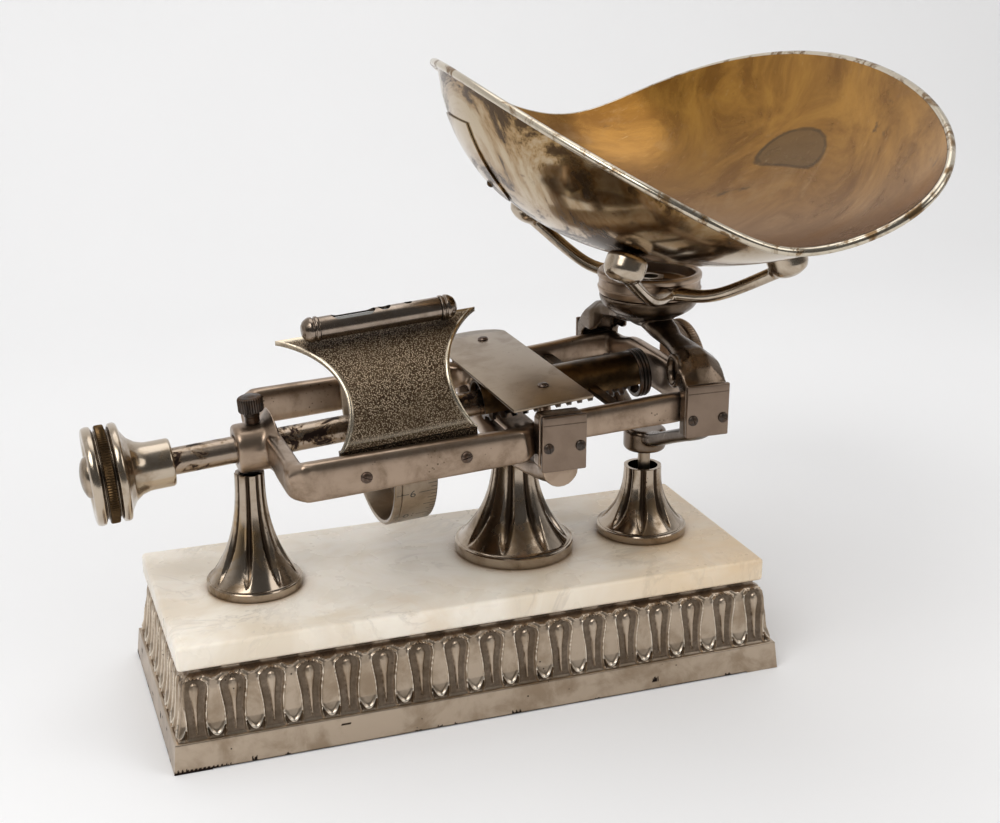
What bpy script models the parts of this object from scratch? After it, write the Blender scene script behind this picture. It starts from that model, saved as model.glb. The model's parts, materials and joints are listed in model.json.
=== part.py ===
# Even-arm counter scale with a sliding screw poise and a saddle-rimmed scoop.
# Metres, +Z up. The beam runs along X with the knob at -X and the scoop at +X.

import math

import bmesh
import bpy
from mathutils import Matrix, Vector

for old_object in list(bpy.data.objects):
    bpy.data.objects.remove(old_object, do_unlink=True)

# Driving dimensions
base_length = 0.335
base_width = 0.141
base_height = 0.0508
plinth_height = 0.0156
slab_length = 0.3176
slab_width = 0.1247
slab_thickness = 0.013
fulcrum_x = base_length * 0.10746
fulcrum_rise = 0.0858
rest_tilt = math.radians(4.65)
load_arm = base_length * 0.23582
shaft_rise = 0.0031
spindle_radius = 0.007
knob_radius = 0.0252
seat_gap = 0.0003
cut_overrun = 0.002

# Lengths along the beam
knob_reach = 0.0742
knob_length = 0.0181
knob_recess = 0.0022
hub_reach = 0.0321
boss_length = 0.0221
drum_width = 0.023
end_nut_length = 0.0065
knife_to_crosshead = 0.0015
crosshead_to_nut = 0.0045
crosshead_to_screw = 0.015
crosshead_thickness = 0.0085

# Reaches along the beam, measured from the fulcrum
boss_outer_end = base_length * 0.45761
boss_inner_end = boss_outer_end - boss_length
knob_end = boss_outer_end + knob_reach
hub_end = boss_outer_end + hub_reach
drum_centre = base_length * 0.21642
screw_start = -0.018
trough_start = -0.021
crosshead_start = load_arm + knife_to_crosshead
screw_end = crosshead_start - crosshead_to_screw
trough_end = crosshead_start - crosshead_to_nut - end_nut_length

# Poise travel: one turn of the knob moves it by the lead
screw_lead = 0.0254

# Beam arms
arm_span = 0.063
arm_span_at_fulcrum = arm_span * 0.9018
arm_span_at_load = arm_span * 0.9643
arm_width = 0.009
drum_clearance = 0.0045
drum_radius = arm_span - arm_width / 2 - drum_clearance
arm_width_right = 0.008
arm_height_left = 0.0202
arm_height_middle = 0.0186
arm_height_right = 0.0156
arm_drop_left = 0.0005
arm_drop_middle = 0.0035
arm_drop_right = 0.0007

# Knives and their bearings, the same at both pivots
knife_half_width = 0.004
knife_height = 0.007
bearing_half_width = 0.0062
bearing_depth = 0.0093
cheek_width = 0.024
cover_thickness = 0.0024
screw_radius = 0.0014
screw_head_radius = 0.0027
screw_head_height = 0.0012
screw_length = 0.006

# Pedestals
pedestal_flutes = 8
left_pedestal_radius = 0.0251
centre_pedestal_radius = 0.033
centre_pedestal_height = 0.0547
right_pedestal_radius = 0.0256
rod_clearance_inward = 0.0007
rest_to_boss_middle = 0.0046
right_pedestal_height = 0.0395

# Scoop, as a bowl cut by a wavy rim
scoop_behind_load = 0.0006
scoop_y = -0.0058
scoop_floor_rise = 0.0732
scoop_half_width = 0.1135
scoop_half_length = 0.2029
scoop_bowl_depth = 0.1064
scoop_turn = math.radians(-1.84)
scoop_rim_height = 0.0694
scoop_rim_saddle = 0.0284
scoop_rim_lean = -0.0053
scoop_rim_twist = 0.0037
scoop_rim_back_rise = 0.0102
scoop_flare_share = 0.32
scoop_sheet = 0.0009
bead_radius = 0.0021

# Places that follow from the sizes above
slab_top = base_height + seat_gap + slab_thickness
fulcrum_z = slab_top + fulcrum_rise
load_x = fulcrum_x + load_arm * math.cos(rest_tilt)
load_z = fulcrum_z + load_arm * math.sin(rest_tilt)
boss_middle_x = fulcrum_x - (boss_outer_end + boss_inner_end) / 2 * math.cos(rest_tilt)
left_pedestal_x = boss_middle_x - rest_to_boss_middle
right_pedestal_x = load_x - rod_clearance_inward
scoop_x = load_x - scoop_behind_load
scoop_z = load_z + scoop_floor_rise


def scoop_rim_lift(angle):
    """Height of the rim above the bowl's floor at a plan angle."""
    lift = scoop_rim_height + scoop_rim_lean * math.cos(angle)
    lift += scoop_rim_saddle * math.cos(2 * angle)
    lift += scoop_rim_twist * math.cos(3 * angle)
    return lift + scoop_rim_back_rise * math.sin(angle)


def scoop_point(angle, reach_share):
    """Point of the scoop's inner face, in the scoop's own frame."""
    lift = min(scoop_rim_lift(angle), scoop_bowl_depth)
    rim_reach = math.sqrt(1 - (1 - lift / scoop_bowl_depth) ** 2)
    reach = rim_reach * reach_share
    along = scoop_half_width * reach * math.cos(angle)
    flare = 1 + scoop_flare_share * reach * math.cos(angle)
    across = scoop_half_length * reach * math.sin(angle) * flare
    height = scoop_bowl_depth * (1 - math.sqrt(max(1 - reach * reach, 0)))
    point = Vector((along, across, height))
    return Matrix.Rotation(scoop_turn, 3, "Z") @ point


def scoop_normal(angle, reach_share):
    """Unit normal of the scoop's inner face, pointing up and inwards."""
    step = 1e-3
    inner = scoop_point(angle, reach_share - step)
    outer = scoop_point(angle, reach_share + step)
    before = scoop_point(angle - step, reach_share)
    after = scoop_point(angle + step, reach_share)
    normal = (outer - inner).cross(after - before)
    return normal.normalized()


# The part stands with the middle of its bounding box over the origin
rim_samples = [scoop_point(math.tau * i / 72, 1) for i in range(72)]
scoop_right = scoop_x + max(p.x for p in rim_samples) + bead_radius
scoop_front = scoop_y + min(p.y for p in rim_samples) - bead_radius
scoop_back = scoop_y + max(p.y for p in rim_samples) + bead_radius
cap_height = 0.004
knob_left = fulcrum_x - (knob_end + cap_height) * math.cos(rest_tilt)
knob_left -= shaft_rise * math.sin(rest_tilt)
shift_x = -(knob_left + scoop_right) / 2
shift_y = -(scoop_front + scoop_back) / 2

parts = bpy.data.collections.new("weighing_scale")
cutters = bpy.data.collections.new("cutters")
for collection in (parts, cutters):
    bpy.context.scene.collection.children.link(collection)


def new_frame(name, parent=None, location=(0, 0, 0), rotation=(0, 0, 0)):
    """Empty that carries a group of pieces, on its joint's axis."""
    empty = bpy.data.objects.new(name, None)
    empty.parent = parent
    empty.location = location
    empty.rotation_euler = rotation
    empty.empty_display_size = base_height
    parts.objects.link(empty)
    return empty


quarter = math.pi / 2
weld_distance = 0.00001
origin = new_frame("scale_origin", None, (shift_x, shift_y, 0))
beam_pivot = new_frame("beam_pivot", origin, (fulcrum_x, 0, fulcrum_z), (0, -rest_tilt, 0))
shaft_line = new_frame("shaft_line", beam_pivot, (0, 0, shaft_rise), (0, quarter, 0))
load_pivot = new_frame("load_pivot", origin, (load_x, 0, load_z))
scoop_seat = new_frame("scoop_seat", origin, (scoop_x, scoop_y, scoop_z))


def add_object(name, mesh, parent, location=(0, 0, 0), rotation=(0, 0, 0)):
    """Puts a mesh in the parts collection under its frame."""
    added = bpy.data.objects.new(name, mesh)
    added.parent = parent
    added.location = location
    added.rotation_euler = rotation
    parts.objects.link(added)
    return added


def mesh_from(name, working_mesh):
    """Turns a bmesh into a mesh with its faces pointing out."""
    bmesh.ops.recalc_face_normals(working_mesh, faces=working_mesh.faces)
    mesh = bpy.data.meshes.new(name)
    working_mesh.to_mesh(mesh)
    working_mesh.free()
    mesh.shade_smooth()
    mesh.set_sharp_from_angle(angle=math.radians(35))
    return mesh


def paint(target, color, roughness, metallic):
    """Gives a piece its own plain material."""
    material = bpy.data.materials.new(target.name)
    material.use_nodes = True
    shader = material.node_tree.nodes["Principled BSDF"]
    shader.inputs["Base Color"].default_value = (*color, 1)
    shader.inputs["Roughness"].default_value = roughness
    shader.inputs["Metallic"].default_value = metallic
    target.data.materials.clear()
    target.data.materials.append(material)
    return target


def nickel(target):
    return paint(target, (0.52, 0.49, 0.44), 0.32, 1)


def dark_iron(target):
    return paint(target, (0.06, 0.055, 0.05), 0.5, 0.8)


def brass(target):
    return paint(target, (0.62, 0.44, 0.2), 0.3, 1)


def box(name, size, parent, location=(0, 0, 0), rounding=0):
    """Block centred on its location, with its edges rounded."""
    working = bmesh.new()
    bmesh.ops.create_cube(working, size=1)
    bmesh.ops.scale(working, vec=size, verts=working.verts)
    block = add_object(name, mesh_from(name, working), parent, location)
    if rounding:
        round_edges(block, rounding)
    return block


def round_edges(target, width, segments=1):
    bevel = target.modifiers.new("rounding", "BEVEL")
    bevel.width = width
    bevel.segments = segments
    bevel.limit_method = "ANGLE"
    bevel.angle_limit = math.radians(40)


def cylinder(name, radius, length, parent, location=(0, 0, 0), axis="Z", sides=24):
    """Round bar centred on its location, along one axis of its frame."""
    working = bmesh.new()
    bmesh.ops.create_cone(working, cap_ends=True, segments=sides, radius1=radius,
                          radius2=radius, depth=length)
    turns = {"X": (0, quarter, 0), "Y": (quarter, 0, 0), "Z": (0, 0, 0)}
    return add_object(name, mesh_from(name, working), parent, location, turns[axis])


def turned(name, profile, parent, location=(0, 0, 0), rotation=(0, 0, 0), steps=32, ring=False):
    """Turned piece: (radius, height) points spun about the local Z axis."""
    area = 0
    for (r1, z1), (r2, z2) in zip(profile, profile[1:] + profile[:1]):
        area += r1 * z2 - r2 * z1
    points = profile if area < 0 else profile[::-1]
    mesh = bpy.data.meshes.new(name)
    edges = [(i, i + 1) for i in range(len(points) - 1)]
    if ring:
        edges.append((len(points) - 1, 0))
    mesh.from_pydata([(r, 0, z) for r, z in points], edges, [])
    piece = add_object(name, mesh, parent, location, rotation)
    screw = piece.modifiers.new("turning", "SCREW")
    screw.angle = math.tau
    screw.steps = steps
    screw.render_steps = steps
    screw.use_merge_vertices = True
    screw.merge_threshold = weld_distance
    screw.use_smooth_shade = False
    return piece


def loft(name, rings, parent, location=(0, 0, 0), rotation=(0, 0, 0), closed=False):
    """Skin over rings of equally many points; a ring of one point is a pole."""
    working = bmesh.new()
    rows = [[working.verts.new(point) for point in ring] for ring in rings]
    pairs = list(zip(rows, rows[1:]))
    if closed:
        pairs.append((rows[-1], rows[0]))
    for lower, upper in pairs:
        count = max(len(lower), len(upper))
        for i in range(count):
            j = (i + 1) % count
            corners = [lower[i % len(lower)], lower[j % len(lower)]]
            corners += [upper[j % len(upper)], upper[i % len(upper)]]
            working.faces.new(list(dict.fromkeys(corners)))
    if not closed:
        for end in (rows[0], rows[-1]):
            if len(end) > 2:
                working.faces.new(end)
    return add_object(name, mesh_from(name, working), parent, location, rotation)


def plate(name, outline, thickness, parent, location=(0, 0, 0), rotation=(0, 0, 0)):
    """Flat outline in the local XY plane, thick along local Z."""
    curve = bpy.data.curves.new(name, "CURVE")
    curve.dimensions = "2D"
    curve.fill_mode = "BOTH"
    curve.extrude = thickness / 2
    spline = curve.splines.new("POLY")
    spline.points.add(len(outline) - 1)
    for point, (x, y) in zip(spline.points, outline):
        point.co = (x, y, 0, 1)
    spline.use_cyclic_u = True
    drawing = bpy.data.objects.new(name, curve)
    parts.objects.link(drawing)
    return from_curve(name, drawing, parent, location, rotation)


def from_curve(name, drawing, parent, location=(0, 0, 0), rotation=(0, 0, 0)):
    """Replaces a curve object by a welded mesh of the same shape."""
    evaluated = drawing.evaluated_get(bpy.context.evaluated_depsgraph_get())
    raw_mesh = bpy.data.meshes.new_from_object(evaluated)
    working = bmesh.new()
    working.from_mesh(raw_mesh)
    bmesh.ops.remove_doubles(working, verts=working.verts, dist=weld_distance)
    bpy.data.objects.remove(drawing, do_unlink=True)
    return add_object(name, mesh_from(name, working), parent, location, rotation)


def bent_bar(name, points, radius, parent, sides=1):
    """Round bar along a smooth line through its points."""
    curve = bpy.data.curves.new(name, "CURVE")
    curve.dimensions = "3D"
    curve.bevel_depth = radius
    curve.bevel_resolution = sides
    curve.use_fill_caps = True
    curve.resolution_u = 3
    spline = curve.splines.new("BEZIER")
    spline.bezier_points.add(len(points) - 1)
    for knot, point in zip(spline.bezier_points, points):
        knot.co = point
        knot.handle_left_type = "AUTO"
        knot.handle_right_type = "AUTO"
    drawing = bpy.data.objects.new(name, curve)
    parts.objects.link(drawing)
    return from_curve(name, drawing, parent)


def as_tool(tool):
    """Keeps a cutting or joining shape out of the finished part."""
    parts.objects.unlink(tool)
    cutters.objects.link(tool)
    tool.hide_render = True
    tool.display_type = "WIRE"
    return tool


def cut(target, tool):
    change = target.modifiers.new("cut", "BOOLEAN")
    change.operation = "DIFFERENCE"
    change.object = as_tool(tool) if tool.name in parts.objects else tool


def fuse(target, tool):
    change = target.modifiers.new("fuse", "BOOLEAN")
    change.operation = "UNION"
    change.object = as_tool(tool)


def arc(centre, radius, start, end, count):
    """Points along an arc, angles in degrees."""
    angles = [math.radians(start + (end - start) * i / count) for i in range(count + 1)]
    return [(centre[0] + radius * math.cos(a), centre[1] + radius * math.sin(a)) for a in angles]


def joined(name, pieces, parent):
    """Several like solids kept in one node."""
    working = bmesh.new()
    for piece in pieces:
        start = len(working.verts)
        working.from_mesh(piece.data)
        working.verts.ensure_lookup_table()
        place = Matrix.LocRotScale(piece.location, piece.rotation_euler, None)
        bmesh.ops.transform(working, matrix=place, verts=working.verts[start:])
        bpy.data.objects.remove(piece, do_unlink=True)
    return add_object(name, mesh_from(name, working), parent)


def slotted_screw(name, parent, middle, turn, length):
    """Round-headed screw with a slot, its shank running down its local Z."""
    top = screw_head_height / 2
    head = screw_head_radius
    profile = [(0, top), (head * 0.8, top), (head, top - screw_head_height * 0.4), (head, -top),
               (screw_radius, -top), (screw_radius, -top - length), (0, -top - length)]
    screw = turned(name, profile, parent, middle, turn, steps=8)
    size = (head * 2.4, head * 0.28, screw_head_height)
    slot = box(name + "_slot", size, parent, middle + Vector((0, 0, top)))
    slot.location = middle + turn.to_matrix() @ Vector((0, 0, top))
    slot.rotation_euler = turn
    cut(screw, slot)
    return nickel(screw)


def slotted_screws(name, seats, direction, parent, targets, length=screw_length):
    """Screws whose heads stand at their seats and whose shanks run the other way."""
    turn = Vector((0, 0, 1)).rotation_difference(Vector(direction)).to_euler()
    holes = []
    for number, place in enumerate(seats, 1):
        middle = Vector(place) + Vector(direction) * (seat_gap + screw_head_height / 2)
        slotted_screw(f"{name}_{number}", parent, middle, turn, length)
        hole_length = 2 * (length + seat_gap)
        hole = cylinder("hole", screw_radius + seat_gap, hole_length, parent, place, "Z", 8)
        hole.rotation_euler = turn
        holes.append(hole)
    hole_tool = as_tool(joined(name + "_holes", holes, parent))
    for target in targets:
        cut(target, hole_tool)


def rectangle_ring(half_length, half_width, height):
    corners = ((-1, -1), (1, -1), (1, 1), (-1, 1))
    return [(half_length * x, half_width * y, height) for x, y in corners]


# Base: hollow casting with a plinth and a moulding, its inset and height at each step
foot_length = 0.019
foot_relief = 0.001
base_wall = 0.007
base_ceiling = 0.007
moulding_ledge = 0.0034
moulding_neck = 0.0118
plinth_draft = 0.0016
spigot_radius = 0.004
tube_spigot_radius = 0.0108
tube_bore_radius = 0.0085
nut_height = 0.005
bracket_grip = 0.005
spigot_depth = slab_thickness + base_ceiling + nut_height + 3 * seat_gap + cut_overrun
boss_radius = 0.0125
yoke_stud_radius = 0.004
yoke_stud_length = 0.007


def base_casting():
    band = base_height - plinth_height
    steps = [(0, 0), (plinth_draft, plinth_height), (moulding_ledge, plinth_height)]
    sweep = moulding_neck - moulding_ledge
    for height_share, inset_share in ((0.07, 0.04), (0.22, 0.2), (0.5, 0.35), (0.72, 0.42),
                                      (0.84, 0.52), (0.9, 0.72), (0.93, 1), (1, 1)):
        inset = moulding_ledge + sweep * inset_share
        steps.append((inset, plinth_height + band * height_share))
    rings = [rectangle_ring(base_length / 2 - i, base_width / 2 - i, z) for i, z in steps]
    casting = loft("base_casting", rings, origin)
    draft = moulding_neck + base_wall
    hollow = [(base_wall, -cut_overrun), (base_wall, plinth_height), (draft, base_height - base_ceiling)]
    rings = [rectangle_ring(base_length / 2 - i, base_width / 2 - i, z) for i, z in hollow]
    cut(casting, loft("base_hollow", rings, origin))
    long_relief = (base_length - 2 * foot_length, base_width + base_wall, 2 * foot_relief)
    short_relief = (base_length + base_wall, base_width - 2 * foot_length, 2 * foot_relief)
    cut(casting, box("long_foot_relief", long_relief, origin))
    cut(casting, box("short_foot_relief", short_relief, origin))
    return nickel(casting)


def pedestal_holes():
    """Holes through the slab and the casting for the pedestals' spigots."""
    holes = []
    for x, radius in ((left_pedestal_x, spigot_radius), (fulcrum_x, spigot_radius),
                      (right_pedestal_x, tube_spigot_radius)):
        place = (x, 0, base_height)
        length = 2 * (slab_thickness + cut_overrun)
        holes.append(cylinder("hole", radius + seat_gap, length, origin, place))
    return as_tool(joined("pedestal_holes", holes, origin))


def marble_slab():
    size = (slab_length, slab_width, slab_thickness)
    middle = (0, 0, base_height + seat_gap + slab_thickness / 2)
    slab = box("marble_slab", size, origin, middle, slab_thickness * 0.16)
    return paint(slab, (0.83, 0.8, 0.74), 0.25, 0)


def fluted_pedestal(name, x, radius, top_radius, height, spigot, top_rings, closed=False):
    """Bell with concave flutes above a plain ring, with a spigot below it."""
    segments = pedestal_flutes * 4
    ring_height = radius * 0.19
    bell_foot = ring_height * 1.1
    rows = [(r, z, 0) for r, z in spigot]
    rows += [(radius * 0.98, 0, 0), (radius, ring_height * 0.2, 0), (radius, ring_height * 0.8, 0)]
    rows.append((radius * 0.95, ring_height, 0))
    for share, flute in ((0.04, 0.07), (0.16, 0.17), (0.36, 0.2), (0.64, 0.17), (1, 0)):
        bell = top_radius + (radius * 0.93 - top_radius) * (1 - share) ** 2.6
        rows.append((bell, bell_foot + (height - bell_foot) * share, flute))
    rows += [(r, z, 0) for r, z in top_rings]
    rings = []
    for row_radius, z, flute in rows:
        ring = []
        for i in range(segments):
            angle = math.tau * i / segments
            channel = abs(math.cos(pedestal_flutes * angle / 2))
            reach = row_radius * (1 - flute * channel)
            ring.append((reach * math.cos(angle), reach * math.sin(angle), z))
        rings.append(ring)
    foot = (x, 0, slab_top + seat_gap)
    return nickel(loft(name, rings, origin, foot, (0, 0, 0), closed))


def pedestals():
    boss_bottom = fulcrum_z + (shaft_rise - boss_radius) * math.cos(rest_tilt)
    boss_bottom -= (boss_outer_end + boss_radius * math.sin(rest_tilt)) * math.sin(rest_tilt)
    left_height = boss_bottom - slab_top - 2 * seat_gap
    solid_spigot = [(spigot_radius, -spigot_depth), (spigot_radius, -seat_gap)]
    left_radius = left_pedestal_radius * 0.31
    top = [(left_radius * 0.8, left_height)]
    fluted_pedestal("left_pedestal", left_pedestal_x, left_pedestal_radius, left_radius,
                    left_height - left_radius * 0.2, solid_spigot, top)
    neck = centre_pedestal_radius * 0.36
    long_spigot = [(spigot_radius, -spigot_depth - bracket_grip), (spigot_radius, -seat_gap)]
    stud = [(yoke_stud_radius, centre_pedestal_height)]
    stud.append((yoke_stud_radius, centre_pedestal_height + yoke_stud_length))
    fluted_pedestal("centre_pedestal", fulcrum_x, centre_pedestal_radius, neck,
                    centre_pedestal_height, long_spigot, stud)
    tube_spigot = [(tube_bore_radius, -spigot_depth), (tube_spigot_radius, -spigot_depth)]
    tube_spigot.append((tube_spigot_radius, -seat_gap))
    bore = [(tube_bore_radius, right_pedestal_height)]
    fluted_pedestal("right_pedestal", right_pedestal_x, right_pedestal_radius, tube_spigot_radius,
                    right_pedestal_height, tube_spigot, bore, True)


# Nuts below the casting's ceiling hold the pedestals down
nut_share = 1.9


def hex_nut(name, bore, height, parent, location):
    outline = arc((0, 0), bore * nut_share, 0, 300, 5)
    nut = plate(name, outline, height, parent, location)
    cut(nut, cylinder(name + "_bore", bore + seat_gap, height + cut_overrun, parent, location))
    return nickel(nut)


def pedestal_nuts():
    top = base_height - base_ceiling - seat_gap
    middle = top - nut_height / 2
    hex_nut("left_pedestal_nut", spigot_radius, nut_height, origin, (left_pedestal_x, 0, middle))
    hex_nut("centre_pedestal_nut", spigot_radius, nut_height, origin, (fulcrum_x, 0, middle))
    outline = arc((0, 0), tube_spigot_radius * 1.35, 0, 300, 5)
    nut = plate("right_pedestal_nut", outline, nut_height, origin, (right_pedestal_x, 0, middle))
    bore = cylinder("right_nut_bore", tube_spigot_radius + seat_gap, nut_height + cut_overrun,
                    origin, (right_pedestal_x, 0, middle))
    cut(nut, bore)
    nickel(nut)


# Fulcrum yoke: a U from the centre pedestal up to a cheek on either side
cheek_clearance = 0.0018
cheek_inner = arm_span_at_fulcrum + arm_width_right / 2 + cheek_clearance
cheek_thickness = 0.0078
fulcrum_cheek_top = 0.0144
fulcrum_cheek_lobe = 0.0148
lobe_share = 0.87


def eight_sided(x, y, z, half_x, half_z):
    """Flattened octagon in the XZ plane, for bars that run along Y."""
    points = []
    for sx, sz in ((1, 0.5), (0.5, 1), (-0.5, 1), (-1, 0.5), (-1, -0.5), (-0.5, -1), (0.5, -1), (1, -0.5)):
        points.append((x + half_x * sx, y, z + half_z * sz))
    return points


def cheek_outline(top, lobe_drop):
    """Side view of a cheek about its pivot: flat top and a round foot."""
    half = cheek_width / 2
    outline = arc((0, -lobe_drop), half * lobe_share, 180, 360, 10)
    outline += [(half, -lobe_drop * 0.8), (half, top * 0.8), (half * 0.85, top), (-half * 0.85, top), (-half, top * 0.8),
                (-half, -lobe_drop * 0.8)]
    return outline


def fulcrum_yoke():
    upright = (quarter, 0, 0)
    middle = cheek_inner + cheek_thickness / 2
    pivot = (fulcrum_x, 0, fulcrum_z)
    yoke_foot = slab_top + centre_pedestal_height + 2 * seat_gap
    neck = centre_pedestal_radius * 0.36
    rise = fulcrum_z - fulcrum_cheek_lobe - yoke_foot
    rings = []
    for y_share, z_share, x_share, thick_share in (
            (-1, 0.96, 0.75, 0.5), (-0.82, 0.66, 0.75, 0.36), (-0.5, 0.42, 0.8, 0.3),
            (-0.22, 0.36, 1, 0.36), (0.22, 0.36, 1, 0.36), (0.5, 0.42, 0.8, 0.3),
            (0.82, 0.66, 0.75, 0.36), (1, 0.96, 0.75, 0.5)):
        z = yoke_foot + rise * z_share
        rings.append(eight_sided(fulcrum_x, middle * y_share, z, neck * x_share, rise * thick_share))
    yoke = loft("fulcrum_yoke", rings, origin)
    window_height = fulcrum_cheek_top + bearing_depth
    for side, tag in ((-1, "front"), (1, "rear")):
        outline = cheek_outline(fulcrum_cheek_top, fulcrum_cheek_lobe)
        place = (pivot[0], side * middle, pivot[2])
        fuse(yoke, plate("yoke_cheek_" + tag, outline, cheek_thickness, origin, place, upright))
    for side, tag in ((-1, "front"), (1, "rear")):
        low = fulcrum_z - bearing_depth - seat_gap
        window = (2 * (bearing_half_width + seat_gap), cheek_thickness + cut_overrun, window_height * 0.8)
        place = (fulcrum_x, side * middle, low + window[2] / 2)
        cut(yoke, box("yoke_window_" + tag, window, origin, place))
    stud_hole = cylinder("yoke_stud_hole", yoke_stud_radius + seat_gap, 2 * (yoke_stud_length + seat_gap),
                         origin, (fulcrum_x, 0, yoke_foot))
    cut(yoke, stud_hole)
    return nickel(yoke)


def knife_outline(direction, clearance=0.0):
    """Wedge whose edge is on the pivot; direction 1 has its body above the edge."""
    half = knife_half_width + clearance
    top = knife_height + clearance
    low = -clearance * 2
    return [(0, direction * low), (half, direction * top), (-half, direction * top)]


def bearing_outline(direction):
    """Block with a V facing the edge; direction -1 has its body below the edge."""
    half = bearing_half_width
    lip = knife_height * 0.17
    points = [(0, -seat_gap), (half * 0.5, lip), (half, lip), (half, -bearing_depth)]
    points += [(-half, -bearing_depth), (-half, lip), (-half * 0.5, lip)]
    return [(x, -direction * z) for x, z in points]


def bearing_pair(name, direction, middle, thickness, parent):
    for side, tag in ((-1, "front"), (1, "rear")):
        place = (0, side * middle, 0)
        block = plate(name + "_" + tag, bearing_outline(direction), thickness, parent, place, (quarter, 0, 0))
        dark_iron(block)


def cover_plates(name, top, bottom, inner, pivot_z, parent, targets):
    """Cover over each bearing, held by two screws."""
    middle = inner + seat_gap + cover_thickness / 2
    height = top + bottom
    covers = []
    for side, tag in ((-1, "front"), (1, "rear")):
        place = (0, side * middle, pivot_z + (top - bottom) / 2)
        size = (cheek_width, cover_thickness, height)
        cover = box(name + "_cover_" + tag, size, parent, place, cover_thickness * 0.3)
        covers.append(nickel(cover))
    outer = inner + seat_gap + cover_thickness
    for side, cover in zip((-1, 1), covers):
        tag = "front" if side < 0 else "rear"
        seats = [(cheek_width * share, side * outer, pivot_z - height * 0.07) for share in (-0.36, 0.36)]
        slotted_screws(f"{name}_{tag}_cover_screw", seats, (0, side, 0), parent, [cover] + targets)


fulcrum_frame = new_frame("fulcrum_frame", origin, (fulcrum_x, 0, fulcrum_z))


def fulcrum_bearings_and_covers(yoke):
    thickness = cheek_thickness - 2 * seat_gap
    bearing_pair("fulcrum_bearing", -1, cheek_inner + cheek_thickness / 2, thickness, fulcrum_frame)
    cover_bottom = fulcrum_cheek_lobe
    cover_plates("fulcrum", fulcrum_cheek_top, cover_bottom, cheek_inner + cheek_thickness, 0,
                 fulcrum_frame, [yoke])


# Beam: two arms, the boss that guides the spindle, a web under the screw and a crosshead
web_half_width = 0.009
web_drop = 0.0155
web_half_height = 0.0019
web_end_drop = 0.0063
web_end_half_height = 0.0058
crosshead_half_height = 0.0112
crosshead_end_half_height = 0.0058
clamp_shank_radius = 0.003
balance_stud_radius = 0.004
fork_end_half_height = 0.0086


def arm_section(x, y, z, half_y, half_z):
    """Rounded bar section in the YZ plane, for bars that run along X."""
    points = []
    for sy, sz in ((1, 0.6), (0.55, 1), (-0.55, 1), (-1, 0.6), (-1, -0.6), (-0.55, -1), (0.55, -1), (1, -0.6)):
        points.append((x, y + half_y * sy, z + half_z * sz))
    return points


def beam_arm(name, side):
    """One arm, ducking inside the fulcrum's cheek and widening again."""
    left = -boss_inner_end - arm_width / 3
    duck = cheek_width * 0.62
    end = load_arm + cheek_width * 0.42
    duck_span = (arm_span + arm_span_at_fulcrum) / 2
    stations = [
        (left, arm_span, arm_drop_left, arm_width, arm_height_left),
        (left * 0.5, arm_span, (arm_drop_left + arm_drop_middle) / 2, arm_width,
         (arm_height_left + arm_height_middle) / 2),
        (-duck - arm_width, arm_span, arm_drop_middle, arm_width, arm_height_middle),
        (-duck, duck_span, arm_drop_middle * 0.75, arm_width, arm_height_middle * 0.84),
        (-duck + arm_width * 0.4, arm_span_at_fulcrum, arm_drop_middle * 0.48, arm_width_right,
         arm_height_middle * 0.67),
        (duck, arm_span_at_fulcrum, arm_drop_right, arm_width_right, arm_height_right * 0.96),
        (load_arm * 0.6, arm_span_at_load * 0.97, arm_drop_right * 0.96, arm_width_right, arm_height_right),
        (load_arm - cheek_width * 0.56, arm_span_at_load * 0.99, arm_drop_right * 0.96, arm_width_right,
         arm_height_right * 1.05),
        (load_arm - cheek_width * 0.3, arm_span_at_load, arm_drop_right * 0.9, arm_width_right,
         arm_height_right * 0.95),
        (load_arm, arm_span_at_load, arm_drop_right * 0.88, arm_width_right, arm_height_right * 0.94),
        (end, arm_span_at_load, arm_drop_right * 0.88, arm_width_right, arm_height_right * 0.84),
    ]
    rings = []
    for x, span, drop, width, height in stations:
        z = shaft_rise - drop
        rings.append(arm_section(x, side * span, z, width / 2, height / 2))
    return loft(name, rings, beam_pivot)


def fork_end():
    """Rounded end that closes the fork: as deep as the arms at its sides, shallower by the boss."""
    corner = arm_width * 1.4
    half = arm_span + arm_width / 2
    left = -boss_inner_end - boss_length * 0.6
    right = -boss_inner_end + arm_width * 0.1
    side_half = arm_height_left * 0.47
    rings = []
    for share, depth in ((-1, 1), (-0.97, 1), (-0.92, 1), (-0.8, 1), (-0.6, 0.9), (-0.35, 0.2), (0.35, 0.2),
                         (0.6, 0.9), (0.8, 1), (0.92, 1), (0.97, 1), (1, 1)):
        past = max(abs(share) * half - half + corner, 0)
        start = left + corner - math.sqrt(corner * corner - past * past)
        half_z = fork_end_half_height + (side_half - fork_end_half_height) * depth
        z = shaft_rise - arm_drop_left * depth
        rings.append(eight_sided((start + right) / 2, half * share, z, (right - start) / 2, half_z))
    return loft("fork_end", rings, beam_pivot)


def boss_neck():
    """Flare that runs from the boss into the fork's end."""
    rings = []
    for reach_share, half_y_share, half_z_share in ((0.2, 0.95, 0.9), (0.42, 1.05, 0.86), (0.6, 1.35, 0.8),
                                                    (0.74, 1.85, 0.74), (0.86, 2.6, 0.7)):
        x = -boss_outer_end + boss_length * reach_share
        rings.append(arm_section(x, 0, shaft_rise, boss_radius * half_y_share, boss_radius * half_z_share))
    return loft("boss_neck", rings, beam_pivot)


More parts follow.
